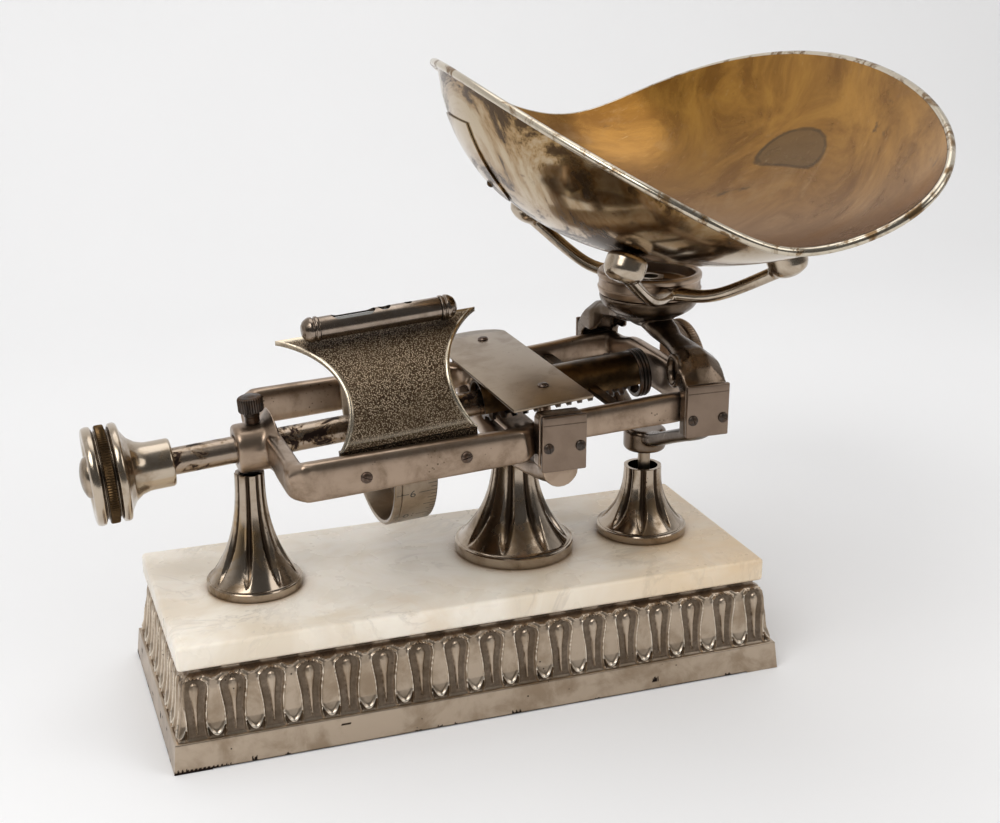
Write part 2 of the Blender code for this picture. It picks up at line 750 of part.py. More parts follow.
def beam_frame():
    frame = beam_arm("beam_frame", -1)
    fuse(frame, beam_arm("rear_arm", 1))
    # Web that ties the arms under the screw
    rings = []
    top_half = web_end_half_height
    arm_z = shaft_rise - web_end_drop
    web_z = shaft_rise - web_drop
    for share, z, half_z in ((-1, arm_z, top_half), (-0.87, (arm_z + web_z) / 2, top_half),
                             (-0.7, web_z, web_half_height), (0.7, web_z, web_half_height),
                             (0.87, (arm_z + web_z) / 2, top_half), (1, arm_z, top_half)):
        rings.append(eight_sided(0, arm_span_at_fulcrum * share, z, web_half_width, half_z))
    fuse(frame, loft("cross_web", rings, beam_pivot))
    # Wall beyond the screw that ties the arms again, lower beside the arms
    place = (crosshead_start + crosshead_thickness / 2, 0, shaft_rise)
    end_half = crosshead_end_half_height
    rings = []
    for share, tall in ((-1, 0), (-0.75, 0.25), (-0.5, 1), (0.5, 1), (0.75, 0.25), (1, 0)):
        half_z = end_half + (crosshead_half_height - end_half) * tall
        rings.append(arm_section(0, 0, 0, crosshead_thickness / 2, half_z))
        rings[-1] = [(y, arm_span_at_load * share, z) for x, y, z in rings[-1]]
    fuse(frame, loft("crosshead", rings, beam_pivot, place))
    fuse(frame, fork_end())
    fuse(frame, boss_neck())
    boss_middle = -(boss_outer_end + boss_inner_end) / 2
    fuse(frame, cylinder("spindle_boss", boss_radius, boss_length, beam_pivot,
                         (boss_middle, 0, shaft_rise), "X", 32))
    # Bores: the spindle, the screw's run-out and the thumbscrew
    run = 2 * boss_length
    cut(frame, cylinder("spindle_bore", spindle_radius + seat_gap, run, beam_pivot,
                        (boss_middle, 0, shaft_rise), "X", 24))
    clamp_hole = cylinder("clamp_hole", clamp_shank_radius + seat_gap, boss_radius, beam_pivot,
                          (boss_middle, 0, shaft_rise + boss_radius), "Z", 16)
    cut(frame, clamp_hole)
    stud_hole = cylinder("balance_stud_hole", balance_stud_radius + seat_gap, crosshead_thickness * 3,
                         beam_pivot, place, "X", 16)
    cut(frame, stud_hole)
    return nickel(frame)


def knife_slots(frame):
    """Wedge-shaped seats in the arms for the knives."""
    for x, tag, direction in ((0, "fulcrum", 1), (load_arm, "load", -1)):
        outline = knife_outline(direction, seat_gap)
        span = 2 * (arm_span + arm_width)
        tool = plate(tag + "_knife_slot", outline, span, beam_pivot, (x, 0, 0), (quarter, 0, 0))
        core = (cheek_width, 2 * (arm_span_at_fulcrum - arm_width_right / 2 + seat_gap), cheek_width)
        cut(tool, box(tag + "_knife_slot_core", core, beam_pivot, (x, 0, 0)))
        cut(frame, tool)


def knives(name, x, direction, inner, outer):
    for side, tag in ((-1, "front"), (1, "rear")):
        place = (x, side * (inner + outer) / 2, 0)
        wedge = plate(name + "_" + tag, knife_outline(direction), outer - inner, beam_pivot, place,
                      (quarter, 0, 0))
        dark_iron(wedge)


# Trough and nut that guide the four-start screw
screw_crest = 0.0108
screw_depth = 0.0018
screw_starts = 4


def poise_trough():
    """Brass half-tube over the screw, with the full ring nut at its end."""
    inner = screw_crest + 0.4 * screw_depth
    wall = screw_depth * 0.75
    shell = []
    for x in (trough_start, trough_end):
        ring = []
        for radius, start, end in ((inner + wall, -12, 192), (inner, 192, -12)):
            for y, z in arc((0, 0), radius, start, end, 14):
                ring.append((x, y, shaft_rise + z))
        shell.append(ring)
    trough = loft("poise_trough", shell, beam_pivot)
    trough_brackets(trough)
    brass(trough)
    nut_start = trough_end + seat_gap
    lip = end_nut_length * 0.2
    outer = inner + wall
    nut_end = nut_start + end_nut_length
    bore = screw_crest + seat_gap
    profile = [(outer * 1.02, nut_start), (outer * 1.05, nut_start + lip),
               (outer * 0.97, nut_start + 2 * lip), (outer * 1.05, nut_start + 3 * lip),
               (outer * 1.02, nut_end), (bore, nut_end), (bore, nut_start)]
    brass(turned("poise_nut", profile, shaft_line, steps=28, ring=True))


def trough_brackets(trough):
    """Lugs on the trough that bear on the arms' inner faces."""
    inner = screw_crest + 0.4 * screw_depth
    root = inner + screw_depth * 0.4
    x = load_arm * 0.52
    width = arm_width * 0.6
    reach = arm_span_at_load * 0.955 - arm_width_right / 2 - seat_gap
    for side, tag in ((-1, "front"), (1, "rear")):
        size = (width, reach - root, width * 0.5)
        place = (x, side * (reach + root) / 2, shaft_rise - size[2] * 0.05)
        fuse(trough, box("trough_lug_" + tag, size, beam_pivot, place))


# Poise: spindle, knob, drum and screw, all on the shaft line
def spindle():
    end = screw_start + screw_crest
    start = -knob_end + knob_recess
    profile = [(0, end), (spindle_radius, end), (spindle_radius, start), (0, start)]
    return nickel(turned("poise_spindle", profile, shaft_line, steps=24))


def knob():
    bore = spindle_radius + seat_gap
    left = -knob_end
    right = left + knob_length
    hub = bore * 1.7
    cove = -hub_end - right
    band = knob_radius * 0.91
    floor = left + knob_recess
    profile = [(bore, -hub_end), (hub * 0.94, -hub_end), (hub, -hub_end - cove * 0.08),
               (hub, -hub_end - cove * 0.45), (hub * 0.93, -hub_end - cove * 0.52),
               (hub * 1.05, right + cove * 0.35), (hub * 1.3, right + cove * 0.12),
               (knob_radius * 0.88, right), (knob_radius, right - knob_length * 0.1),
               (band, right - knob_length * 0.28), (band, left + knob_length * 0.28),
               (knob_radius, left + knob_length * 0.12), (knob_radius * 0.94, left),
               (knob_radius * 0.7, left), (knob_radius * 0.62, floor), (bore, floor)]
    nickel(turned("knob_wheel", profile, shaft_line, steps=30, ring=True))
    foot = floor - seat_gap
    reach = hub * 0.9
    cap = [(0, left - cap_height), (reach * 0.5, left - cap_height * 0.86),
           (reach * 0.85, left - cap_height * 0.4), (reach, left), (reach, foot), (0, foot)]
    nickel(turned("knob_cap", cap, shaft_line, steps=20))


def ounce_drum():
    bore = spindle_radius + seat_gap
    left = -drum_centre - drum_width / 2
    right = left + drum_width
    wall = drum_radius * 0.06
    hub = bore * 1.6
    groove = left + drum_width * 0.17
    lip = wall * 0.35
    profile = [(bore, right), (drum_radius - lip, right), (drum_radius, right - lip),
               (drum_radius, groove + lip), (drum_radius - lip * 0.7, groove), (drum_radius, groove - lip),
               (drum_radius, left + lip), (drum_radius - lip, left), (drum_radius - wall, left),
               (hub * 1.4, right - drum_width * 0.3), (hub, right - drum_width * 0.34),
               (hub, left + drum_width * 0.3), (bore, left + drum_width * 0.3)]
    return nickel(turned("ounce_drum", profile, shaft_line, steps=36, ring=True))


def lead_screw():
    """Four-start screw: its ridges climb by the lead in each turn."""
    samples = 12
    step = screw_lead / samples
    count = max(int((screw_end - screw_start) / step), 2)
    rings = [[(0, 0, screw_start)]]
    for row in range(count + 1):
        z = screw_start + (screw_end - screw_start) * row / count
        ring = []
        for i in range(samples):
            angle = math.tau * i / samples
            phase = screw_starts * (angle / math.tau - z / screw_lead)
            ridge = 0.5 + 0.5 * math.cos(math.tau * phase)
            reach = screw_crest - screw_depth * (1 - ridge)
            ring.append((reach * math.cos(angle), reach * math.sin(angle), z))
        rings.append(ring)
    rings.append([(0, 0, screw_end)])
    screw = loft("lead_screw", rings, shaft_line)
    bore_depth = screw_crest + 2 * seat_gap
    bore = cylinder("lead_screw_bore", spindle_radius + seat_gap, 2 * bore_depth, shaft_line,
                    (0, 0, screw_start), "Z", 24)
    cut(screw, bore)
    return dark_iron(screw)


# Clamp screw on the boss
clamp_head_radius = 0.0073
clamp_head_height = 0.0068
clamp_neck_height = 0.006


def clamp_thumbscrew():
    x = -(boss_outer_end + boss_inner_end) / 2
    clamp_axis = new_frame("clamp_axis", beam_pivot, (x, 0, shaft_rise))
    foot = spindle_radius + 2 * seat_gap
    neck = boss_radius + seat_gap * 2
    head = neck + clamp_neck_height
    top = head + clamp_head_height
    reach = clamp_head_radius
    profile = [(0, top + reach * 0.42), (reach * 0.45, top + reach * 0.34), (reach * 0.8, top + reach * 0.12),
               (reach, top - reach * 0.1), (reach, head + reach * 0.08), (reach * 0.6, head - reach * 0.06),
               (clamp_shank_radius * 1.25, head - clamp_neck_height * 0.3),
               (clamp_shank_radius * 1.25, neck), (clamp_shank_radius, neck), (clamp_shank_radius, foot), (0, foot)]
    screw = turned("clamp_thumbscrew", profile, clamp_axis, steps=20)
    return nickel(screw)


# Balance wheel on its stud beyond the crosshead
balance_radius = 0.0255
crosshead_to_balance = 0.018
balance_start = crosshead_start + crosshead_to_balance
balance_width = 0.0065


def balance_wheel():
    wheel_start = balance_start
    end = wheel_start + balance_width
    stud_end = end + balance_width * 0.7
    profile = [(0, stud_end), (balance_stud_radius * 1.8, stud_end), (balance_stud_radius * 1.8, end + seat_gap),
               (balance_stud_radius, end + seat_gap), (balance_stud_radius, crosshead_start + seat_gap),
               (0, crosshead_start + seat_gap)]
    nickel(turned("balance_stud", profile, shaft_line, steps=20))
    bore = balance_stud_radius + seat_gap
    reach = balance_radius
    rim = reach * 0.86
    profile = [(bore, end), (reach * 0.4, end), (reach * 0.5, end - balance_width * 0.3),
               (rim * 0.9, end - balance_width * 0.3), (rim, end), (reach * 0.97, end),
               (reach, end - balance_width * 0.15), (reach, wheel_start + balance_width * 0.15),
               (reach * 0.97, wheel_start), (bore, wheel_start)]
    wheel = turned("balance_wheel", profile, shaft_line, steps=30, ring=True)
    return nickel(wheel)


# Name shield: a curved plate over the drum, left blank, that carries the level
shield_past_drum = 0.0035
shield_centre = drum_centre + shield_past_drum
shield_inner = arm_span - arm_width / 2
shield_sheet = 0.0018
shield_border = 0.0007
shield_half_foot = boss_inner_end * 0.27058
shield_half_waist = boss_inner_end * 0.21341
shield_half_top = boss_inner_end * 0.40015
shield_top_angle = 74.5
level_radius = 0.0058
level_length = boss_inner_end * 0.60976
level_wall = 0.0012
level_lean = math.radians(69)
level_lip_share = 1.1


def shield_half_width(share):
    """Half the shield's width, drawn in to a waist between its foot and its tips."""
    straight = shield_half_foot + (shield_half_top - shield_half_foot) * share ** 2
    middle = shield_half_foot + (shield_half_top - shield_half_foot) / 4
    return straight - (middle - shield_half_waist) * math.sin(math.pi * share) ** 0.8


def shield_rows():
    """Inner and outer points of the shield's section about the shaft line, from its foot up."""
    flange = arm_span - arm_width / 2 - seat_gap
    ledge = arm_height_left / 2 - arm_drop_left + seat_gap
    rows = [((flange - shield_sheet, -ledge * 0.7), (flange, -ledge * 0.7)),
            ((flange - shield_sheet, ledge + shield_sheet * 0.5), (flange, ledge))]
    start = math.asin((ledge + shield_sheet) / shield_inner)
    end = math.radians(shield_top_angle)
    for number in range(9):
        angle = start + (end - start) * number / 8
        inner = (shield_inner * math.cos(angle), shield_inner * math.sin(angle))
        outer_reach = shield_inner + shield_sheet
        outer = (outer_reach * math.cos(angle), outer_reach * math.sin(angle))
        if number == 0:
            outer = (outer_reach * math.cos(angle), ledge)
        rows.append((inner, outer))
    return rows


def name_shield():
    rows = shield_rows()
    columns = (-1, -0.94, -0.9, -0.5, 0, 0.5, 0.9, 0.94, 1)
    rings = []
    for number, (inner, outer) in enumerate(rows):
        half = shield_half_width(max(number - 2, 0) / (len(rows) - 3))
        front = []
        back = []
        for column in columns:
            rim = abs(column) > 0.92 and number > 1 or number in (2, len(rows) - 1)
            reach = math.hypot(*outer)
            lift = 1 + (shield_border / reach if rim else 0)
            x = -shield_centre + half * column
            front.append((x, -outer[0] * lift, shaft_rise + outer[1] * (lift if number > 2 else 1)))
            back.append((x, -inner[0], shaft_rise + inner[1]))
        rings.append(front + back[::-1])
    return nickel(loft("name_shield", rings, beam_pivot))


def shield_screws(shield, frame):
    outer = arm_span + arm_width / 2
    z = shaft_rise - arm_height_left * 0.11
    seats = [(-shield_centre + shield_half_foot * share, -outer, z) for share in (-0.72, 0.73)]
    length = arm_width + shield_sheet
    slotted_screws("shield_screw", seats, (0, -1, 0), beam_pivot, [shield, frame], length)


def level():
    """Round level on the shield's top edge: tube, vial and two domed caps."""
    corner = shield_inner + shield_sheet + shield_border
    angle = level_lean
    rise = level_radius * level_lip_share + seat_gap
    y = -corner * math.cos(angle) - rise * math.cos(level_lean)
    z = shaft_rise + corner * math.sin(angle) + rise * math.sin(level_lean)
    frame = new_frame("level_axis", beam_pivot, (-shield_centre, y, z), (0, quarter, 0))
    half = level_length / 2
    cap = level_radius * 1.5
    inner = level_radius - level_wall
    tube = turned("level_tube", [(level_radius, half - cap), (level_radius, cap - half),
                                 (inner, cap - half), (inner, half - cap)], frame, steps=20, ring=True)
    window = (level_radius * 1.5, level_radius * 0.95, level_length * 0.26)
    for side in (-1, 1):
        place = (-level_radius, 0, side * level_length * 0.17)
        cut(tube, box("level_window", window, frame, place))
    nickel(tube)
    vial_end = half - cap - seat_gap
    bulge = inner - seat_gap
    vial = turned("level_vial", [(0, vial_end), (bulge * 0.7, vial_end), (bulge, vial_end - bulge * 0.3),
                                 (bulge, bulge * 0.3 - vial_end), (bulge * 0.7, -vial_end), (0, -vial_end)],
                  frame, steps=16)
    paint(vial, (0.75, 0.85, 0.55), 0.05, 0)
    for side, tag in ((-1, "left"), (1, "right")):
        start = half - cap + seat_gap
        lip = level_radius * level_lip_share
        profile = [(0, start), (lip, start), (lip, start + cap * 0.2), (lip * 0.88, start + cap * 0.36),
                   (lip, start + cap * 0.5), (lip, start + cap * 0.66), (lip * 0.72, start + cap * 0.92),
                   (0, start + cap)]
        profile = [(r, side * z) for r, z in profile]
        nickel(turned("level_cap_" + tag, profile, frame, steps=16))


# Top plate over the fulcrum, on two posts from the beam
plate_sheet = 0.0016
plate_rise = 0.0156
plate_left = 0.0228
plate_right = 0.0203
plate_front = arm_span * 1.032
plate_back = arm_span * 1.222
plate_screw_x = 0.0033
plate_post_front = arm_span_at_fulcrum * 0.669
plate_post_rear = arm_span_at_fulcrum
plate_post_radius = 0.0034


def top_plate(frame):
    half = (plate_left + plate_right) / 2
    middle = (plate_right - plate_left) / 2
    outline = [(plate_right, -plate_front)]
    outline += arc((middle, plate_back - half * 0.55), half, 0, 180, 10)
    outline += [(-plate_left, -plate_front)]
    outline = [(x, y if y < 0 else plate_back - half * 0.55 + (y - plate_back + half * 0.55) * 0.55)
               for x, y in outline]
    z = shaft_rise + plate_rise
    cover = plate("top_plate", outline, plate_sheet, beam_pivot, (0, 0, z))
    nickel(cover)
    web_top = shaft_rise - web_drop + web_half_height
    post_top = z - plate_sheet / 2 - seat_gap
    posts = []
    height = post_top - web_top + web_half_height
    place = (plate_screw_x, -plate_post_front, post_top - height / 2)
    posts.append(cylinder("front_plate_post", plate_post_radius, height, beam_pivot, place, "Z", 16))
    arm_top = shaft_rise - arm_drop_right + arm_height_right * 0.4
    height = post_top - arm_top + arm_height_right * 0.2
    place = (plate_screw_x, plate_post_rear, post_top - height / 2)
    posts.append(cylinder("rear_plate_post", plate_post_radius, height, beam_pivot, place, "Z", 16))
    for post in posts:
        fuse(frame, post)
    seats = [(plate_screw_x, -plate_post_front, z + plate_sheet / 2),
             (plate_screw_x, plate_post_rear, z + plate_sheet / 2)]
    slotted_screws("top_plate_screw", seats, (0, 0, 1), beam_pivot, [cover, frame])


# Load yoke: cone, legs to a cheek on either side, and a loop below to the check rod
load_cheek_clearance = 0.0012
load_cheek_inner = arm_span_at_load + arm_width_right / 2 + load_cheek_clearance
load_cheek_thickness = 0.0064
load_cheek_top = 0.0165
load_cheek_drop = 0.0115
cone_radius = 0.0275
cone_waist = 0.0068
cone_top_rise = 0.048
cone_waist_rise = 0.0255
cone_foot_rise = 0.0225
leg_shoulder_rise = 0.029
ear_recess_half_width = 0.0036
ear_recess_share = 1.5
ear_recess_depth = 0.0042
cone_stud_radius = 0.0045
bowl_floor = 0.003
bowl_radius = 0.0285
bowl_height = 0.0125
bowl_wall = 0.0036
spider_nut_height = 0.0055
check_boss_radius = 0.012
check_boss_drop = 0.0425
check_boss_height = 0.0125
check_rod_radius = 0.0035
check_drop = 0.125
link_pin_radius = 0.002


def load_legs(middle):
    """Wishbone from the cone over the beam's arms, with a deep shoulder above each cheek."""
    rings = []
    shoulder = leg_shoulder_rise
    arch = [(-1.03, 0.2, 0.4, 0.48), (-0.98, 0.45, 0.44, 0.68), (-0.9, 0.62, 0.4, 0.87), (-0.8, 0.69, 0.34, 0.98),
            (-0.64, 0.81, 0.3, 0.98), (-0.43, 0.93, 0.28, 1.08), (-0.2, 1, 0.31, 1.12), (0, 1, 0.32, 1.12)]
    arch = [(share, shoulder * (rise + low) / 2, across, shoulder * (rise - low) / 2)
            for share, low, across, rise in arch]
    arch += [(-share, z, across, tall) for share, z, across, tall in arch[-2::-1]]
    for share, z, across, tall in arch:
        rings.append(eight_sided(0, middle * share, z, cheek_width * across, tall))
    return loft("load_legs", rings, load_pivot)


def load_loop(middle):
    """Strap from cheek to cheek below the beam, through the check boss."""
    rings = []
    low = -load_cheek_drop * 0.6
    boss_z = -check_boss_drop + check_boss_height * 0.62
    run = [(-1, 0, 0.36, 0.35), (-0.9, 0.24, 0.32, 0.32), (-0.74, 0.4, 0.29, 0.32), (-0.48, 0.66, 0.27, 0.32),
           (-0.22, 0.92, 0.26, 0.33)]
    run += [(-share, depth, across, tall) for share, depth, across, tall in run[::-1]]
    for share, depth, across, tall in run:
        z = low + (boss_z - low) * depth
        rings.append(eight_sided(0, middle * share, z, cheek_width * across, load_cheek_drop * tall))
    return loft("load_loop", rings, load_pivot)


def ear_recesses():
    """Oval hollows in both faces of each leg, over the arm."""
    recesses = []
    place_y = load_cheek_inner * 0.865
    place_z = leg_shoulder_rise * 0.67
    for side in (-1, 1):
        outline = [(side * place_y + x, place_z + z * ear_recess_share) for x, z in
                   arc((0, 0), ear_recess_half_width, 0, 330, 11)]
        for face in (-1, 1):
            x = face * cheek_width * 0.4
            ring = [(x - face * ear_recess_depth, y, z) for y, z in outline]
            outer = [(x + face * ear_recess_depth, y, z) for y, z in outline]
            recesses.append(loft("ear_recess", [ring, outer], load_pivot))
    return as_tool(joined("ear_recesses", recesses, load_pivot))


def load_yoke():
    middle = load_cheek_inner + load_cheek_thickness / 2
    profile = [(0, cone_top_rise), (cone_radius, cone_top_rise)]
    span = cone_top_rise - cone_waist_rise
    for height_share, reach_share in ((0.9, 0.99), (0.72, 0.92), (0.52, 0.68), (0.32, 0.34), (0.14, 0.09), (0, 0)):
        reach = cone_waist + (cone_radius - cone_waist) * reach_share
        profile.append((reach, cone_waist_rise + span * height_share))
    profile += [(cone_waist, cone_foot_rise), (0, cone_foot_rise)]
    yoke = turned("load_yoke", profile, load_pivot, steps=28)
    stud_height = bowl_floor + spider_nut_height + 2 * seat_gap
    stud = cylinder("cone_stud", cone_stud_radius, 2 * stud_height, load_pivot, (0, 0, cone_top_rise), "Z", 16)
    fuse(yoke, stud)
    fuse(yoke, load_legs(middle))
    fuse(yoke, load_loop(middle))
    boss_place = (0, 0, -check_boss_drop + check_boss_height / 2)
    fuse(yoke, cylinder("check_boss", check_boss_radius, check_boss_height, load_pivot, boss_place, "Z", 24))
    for side in (-1, 1):
        half = cheek_width / 2
        outline = [(-half, -load_cheek_drop), (half, -load_cheek_drop), (half, load_cheek_top * 0.8),
                   (half * 0.8, load_cheek_top), (-half * 0.8, load_cheek_top), (-half, load_cheek_top * 0.8)]
        place = (0, side * middle, 0)
        fuse(yoke, plate("load_cheek", outline, load_cheek_thickness, load_pivot, place, (quarter, 0, 0)))
    for side in (-1, 1):
        high = bearing_depth + seat_gap
        window = (2 * (bearing_half_width + seat_gap), load_cheek_thickness + cut_overrun,
                  high + load_cheek_drop * 0.78)
        place = (0, side * middle, high - window[2] / 2)
        cut(yoke, box("load_window", window, load_pivot, place))
    hole = cylinder("check_rod_hole", check_rod_radius + seat_gap, check_boss_height, load_pivot,
                    (0, 0, -check_boss_drop), "Z", 20)
    cut(yoke, hole)
    cut(yoke, ear_recesses())
    return nickel(yoke)


def load_bearings_and_covers(yoke):
    thickness = load_cheek_thickness - 2 * seat_gap
    bearing_pair("load_bearing", 1, load_cheek_inner + load_cheek_thickness / 2, thickness, load_pivot)
    cover_plates("load", load_cheek_top, load_cheek_drop, load_cheek_inner + load_cheek_thickness, 0,
                 load_pivot, [yoke])


# Check gear: the rod below the yoke and the link that keeps it upright
link_bar_height = 0.007
link_bar_thickness = 0.002
eye_thickness = 0.006
eye_radius = 0.0052
collar_radius = 0.0065
collar_floor = 0.0015


def check_rod():
    top = -check_boss_drop + check_boss_height / 2 - seat_gap
    bottom = -check_drop + eye_radius * 0.85
    length = top - bottom
    rod = cylinder("check_rod", check_rod_radius, length, load_pivot, (0, 0, (top + bottom) / 2), "Z", 20)
    eye = cylinder("check_rod_eye", eye_radius, eye_thickness, load_pivot, (0, 0, -check_drop), "Y", 20)
    fuse(rod, eye)
    hole = cylinder("check_rod_pin_hole", link_pin_radius + seat_gap, 2 * eye_thickness, load_pivot,
                    (0, 0, -check_drop), "Y", 16)
    cut(rod, hole)
    return nickel(rod)


def check_link():
    """Two side bars riveted over their pins, parallel to the beam's arm."""
    check_z = load_z - check_drop - load_arm * math.sin(rest_tilt)
    check_pivot = new_frame("check_pivot", origin, (fulcrum_x, 0, check_z), (0, -rest_tilt, 0))
    half = link_bar_height / 2
    outline = arc((0, 0), half, 90, 270, 5) + arc((load_arm, 0), half, -90, 90, 5)
    y = eye_thickness / 2 + seat_gap + link_bar_thickness / 2
    upright = (quarter, 0, 0)
    link = plate("check_link", outline, link_bar_thickness, check_pivot, (0, -y, 0), upright)
    fuse(link, plate("check_link_rear", outline, link_bar_thickness, check_pivot, (0, y, 0), upright))
    length = eye_thickness + 3.2 * link_bar_thickness
    for x, tag in ((0, "fulcrum"), (load_arm, "load")):
        fuse(link, cylinder("link_rivet_" + tag, link_pin_radius, length, check_pivot, (x, 0, 0), "Y", 14))
    dark_iron(link)
    return check_z


def check_bracket(check_z):
    """Collar on the end of the centre pedestal's spigot, with an eye for the link."""
    top = base_height - base_ceiling - nut_height - 3 * seat_gap
    spigot_end = slab_top + seat_gap - spigot_depth - bracket_grip
    bottom = spigot_end - collar_floor
    collar = (fulcrum_x, 0, (top + bottom) / 2)
    bracket = cylinder("check_bracket", collar_radius, top - bottom, origin, collar, "Z", 20)
    column_top = bottom + collar_floor / 2
    column = (eye_radius * 1.6, eye_thickness, column_top - check_z)
    fuse(bracket, box("check_bracket_column", column, origin, (fulcrum_x, 0, (column_top + check_z) / 2)))
    fuse(bracket, cylinder("check_bracket_eye", eye_radius, eye_thickness, origin, (fulcrum_x, 0, check_z), "Y", 20))
    socket_depth = top - spigot_end + seat_gap
    cut(bracket, cylinder("check_bracket_socket", spigot_radius + seat_gap, 2 * socket_depth, origin,
                          (fulcrum_x, 0, top), "Z", 16))
    cut(bracket, cylinder("check_bracket_hole", link_pin_radius + seat_gap, 2 * eye_thickness, origin,
                          (fulcrum_x, 0, check_z), "Y", 16))
    return nickel(bracket)


# Spider: a bowl on the cone with forked arms, each ending in a round pad under the scoop
pad_radius = 0.0105
spider_arm_radius = 0.0036
spider_reach = 0.082
spider_spread = math.radians(30.5)


def pad_places(pan):
    """Each pad's direction, its touching point under the scoop and the way down from it."""
    bpy.context.view_layer.update()
    pan_to_yoke = load_pivot.matrix_world.inverted() @ pan.matrix_world
    places = []
    for end in (-1, 1):
        for side in (-1, 1):
            direction = end * quarter + side * spider_spread + scoop_turn
            below = Vector((spider_reach * math.cos(direction), spider_reach * math.sin(direction), 0))
            start = pan_to_yoke.inverted() @ below
            hit, place, outward, face = pan.ray_cast(start, (0, 0, 1))
            place = pan_to_yoke @ (place + outward * seat_gap)
            places.append((direction, place, pan_to_yoke.to_3x3() @ outward))
    return places


def spider(pan):
    foot = cone_top_rise + seat_gap
    top = foot + bowl_height
    bore = cone_stud_radius + seat_gap
    inner = bowl_radius - bowl_wall
    round_over = bowl_wall * 0.3
    profile = [(bore, foot + bowl_floor), (inner * 0.85, foot + bowl_floor), (inner, foot + bowl_floor * 1.8),
               (inner, top - round_over), (inner + round_over, top), (bowl_radius - round_over, top),
               (bowl_radius, top - round_over), (bowl_radius, foot + bowl_wall), (cone_radius, foot), (bore, foot)]
    bowl = turned("spider", profile, load_pivot, steps=28, ring=True)
    low = foot + spider_arm_radius * 1.3
    cup = [(0, 0), (pad_radius * 0.7, -pad_radius * 0.1), (pad_radius, -pad_radius * 0.28),
           (pad_radius, -pad_radius), (pad_radius * 0.7, -pad_radius * 1.45), (0, -pad_radius * 1.45)]
    for direction, place, down in pad_places(pan):
        end = 1 if math.sin(direction) > 0 else -1
        side = 1 if math.cos(direction) > 0 else -1
        start = Vector((side * spider_reach * 0.02, end * (bowl_radius - bowl_wall * 0.6), low))
        cup_middle = place + down * pad_radius
        knee = start + (cup_middle - start) * 0.4
        knee.z = low + (cup_middle.z - low) * 0.12
        fuse(bowl, bent_bar("spider_arm", [start, knee, cup_middle], spider_arm_radius, load_pivot))
        turn = Vector((0, 0, -1)).rotation_difference(down).to_euler()
        fuse(bowl, turned("spider_pad", cup, load_pivot, place, turn, steps=14))
    nut_z = foot + bowl_floor + seat_gap + spider_nut_height / 2
    hex_nut("spider_nut", cone_stud_radius, spider_nut_height, load_pivot, (0, 0, nut_z))
    return nickel(bowl)


# Scoop: a bowl cut by a wavy rim, rolled over a wire at its edge
scoop_sectors = 44
patch_angle = 176.0
patch_half_width = 0.024
patch_height_share = 0.52
patch_sheet = 0.0007
rivet_radius = 0.0022


def scoop_section(angle):
    """One radial slice: inner face, round the bead, back along the outer face."""
    shares = [0.14, 0.38, 0.62, 0.82, 0.95]
    inner = [scoop_point(angle, share) for share in shares]
    edge = scoop_point(angle, 1)
    into = scoop_normal(angle, 1)
    along = (edge - inner[-1]).normalized()
    centre = edge - into * (bead_radius + scoop_sheet * 0.1)
    bead = []
    for turn_share in (0, 0.17, 0.34, 0.51, 0.68):
        turn = math.tau * turn_share - quarter * 0.35
        bead.append(centre + (into * math.cos(turn) + along * math.sin(turn)) * bead_radius)
    outer = [scoop_point(angle, s) - scoop_normal(angle, s) * scoop_sheet for s in reversed(shares)]
    return inner + bead + outer


def scoop_pan():
    slices = [scoop_section(math.tau * i / scoop_sectors) for i in range(scoop_sectors)]
    rings = [[scoop_point(0, 0)]]
    for row in range(len(slices[0])):
        rings.append([piece[row] for piece in slices])
    rings.append([Vector((0, 0, -scoop_sheet))])
    pan = loft("scoop_pan", rings, scoop_seat)
    return paint(pan, (0.66, 0.5, 0.26), 0.28, 1)


def nose_patch():
    """Riveted patch on the outside of the scoop's left end."""
    rows = 5
    columns = 7
    rim = scoop_point(math.radians(patch_angle), 1)
    grids = []
    for lift in (scoop_sheet + seat_gap, scoop_sheet + seat_gap + patch_sheet):
        grid = []
        for row in range(rows):
            share = 0.955 - (1 - 0.955 + patch_height_share) * 0.42 * row / (rows - 1)
            narrowing = math.sqrt(max(1 - (row / (rows - 1)) ** 4 * 0.75, 0))
            line = []
            for column in range(columns):
                offset = (2 * column / (columns - 1) - 1) * patch_half_width * narrowing
                angle = math.radians(patch_angle) + offset / rim.length
                line.append(scoop_point(angle, share) - scoop_normal(angle, share) * lift)
            grid.append(line)
        grids.append(grid)
    rings = [inner + outer[::-1] for inner, outer in zip(*grids)]
    patch = loft("nose_patch", rings, scoop_seat)
    paint(patch, (0.6, 0.52, 0.42), 0.25, 1)
    angle = math.radians(patch_angle)
    share = 0.955 - (1 - 0.955 + patch_height_share) * 0.42 * 0.72
    outward = -scoop_normal(angle, share)
    seat = scoop_point(angle, share) + outward * (scoop_sheet + 2 * seat_gap + patch_sheet)
    turn = Vector((0, 0, 1)).rotation_difference(outward).to_euler()
    head = rivet_radius
    profile = [(0, head * 0.7), (head * 0.6, head * 0.55), (head, 0), (0, 0)]
    brass(turned("patch_rivet", profile, scoop_seat, seat, turn, steps=12))


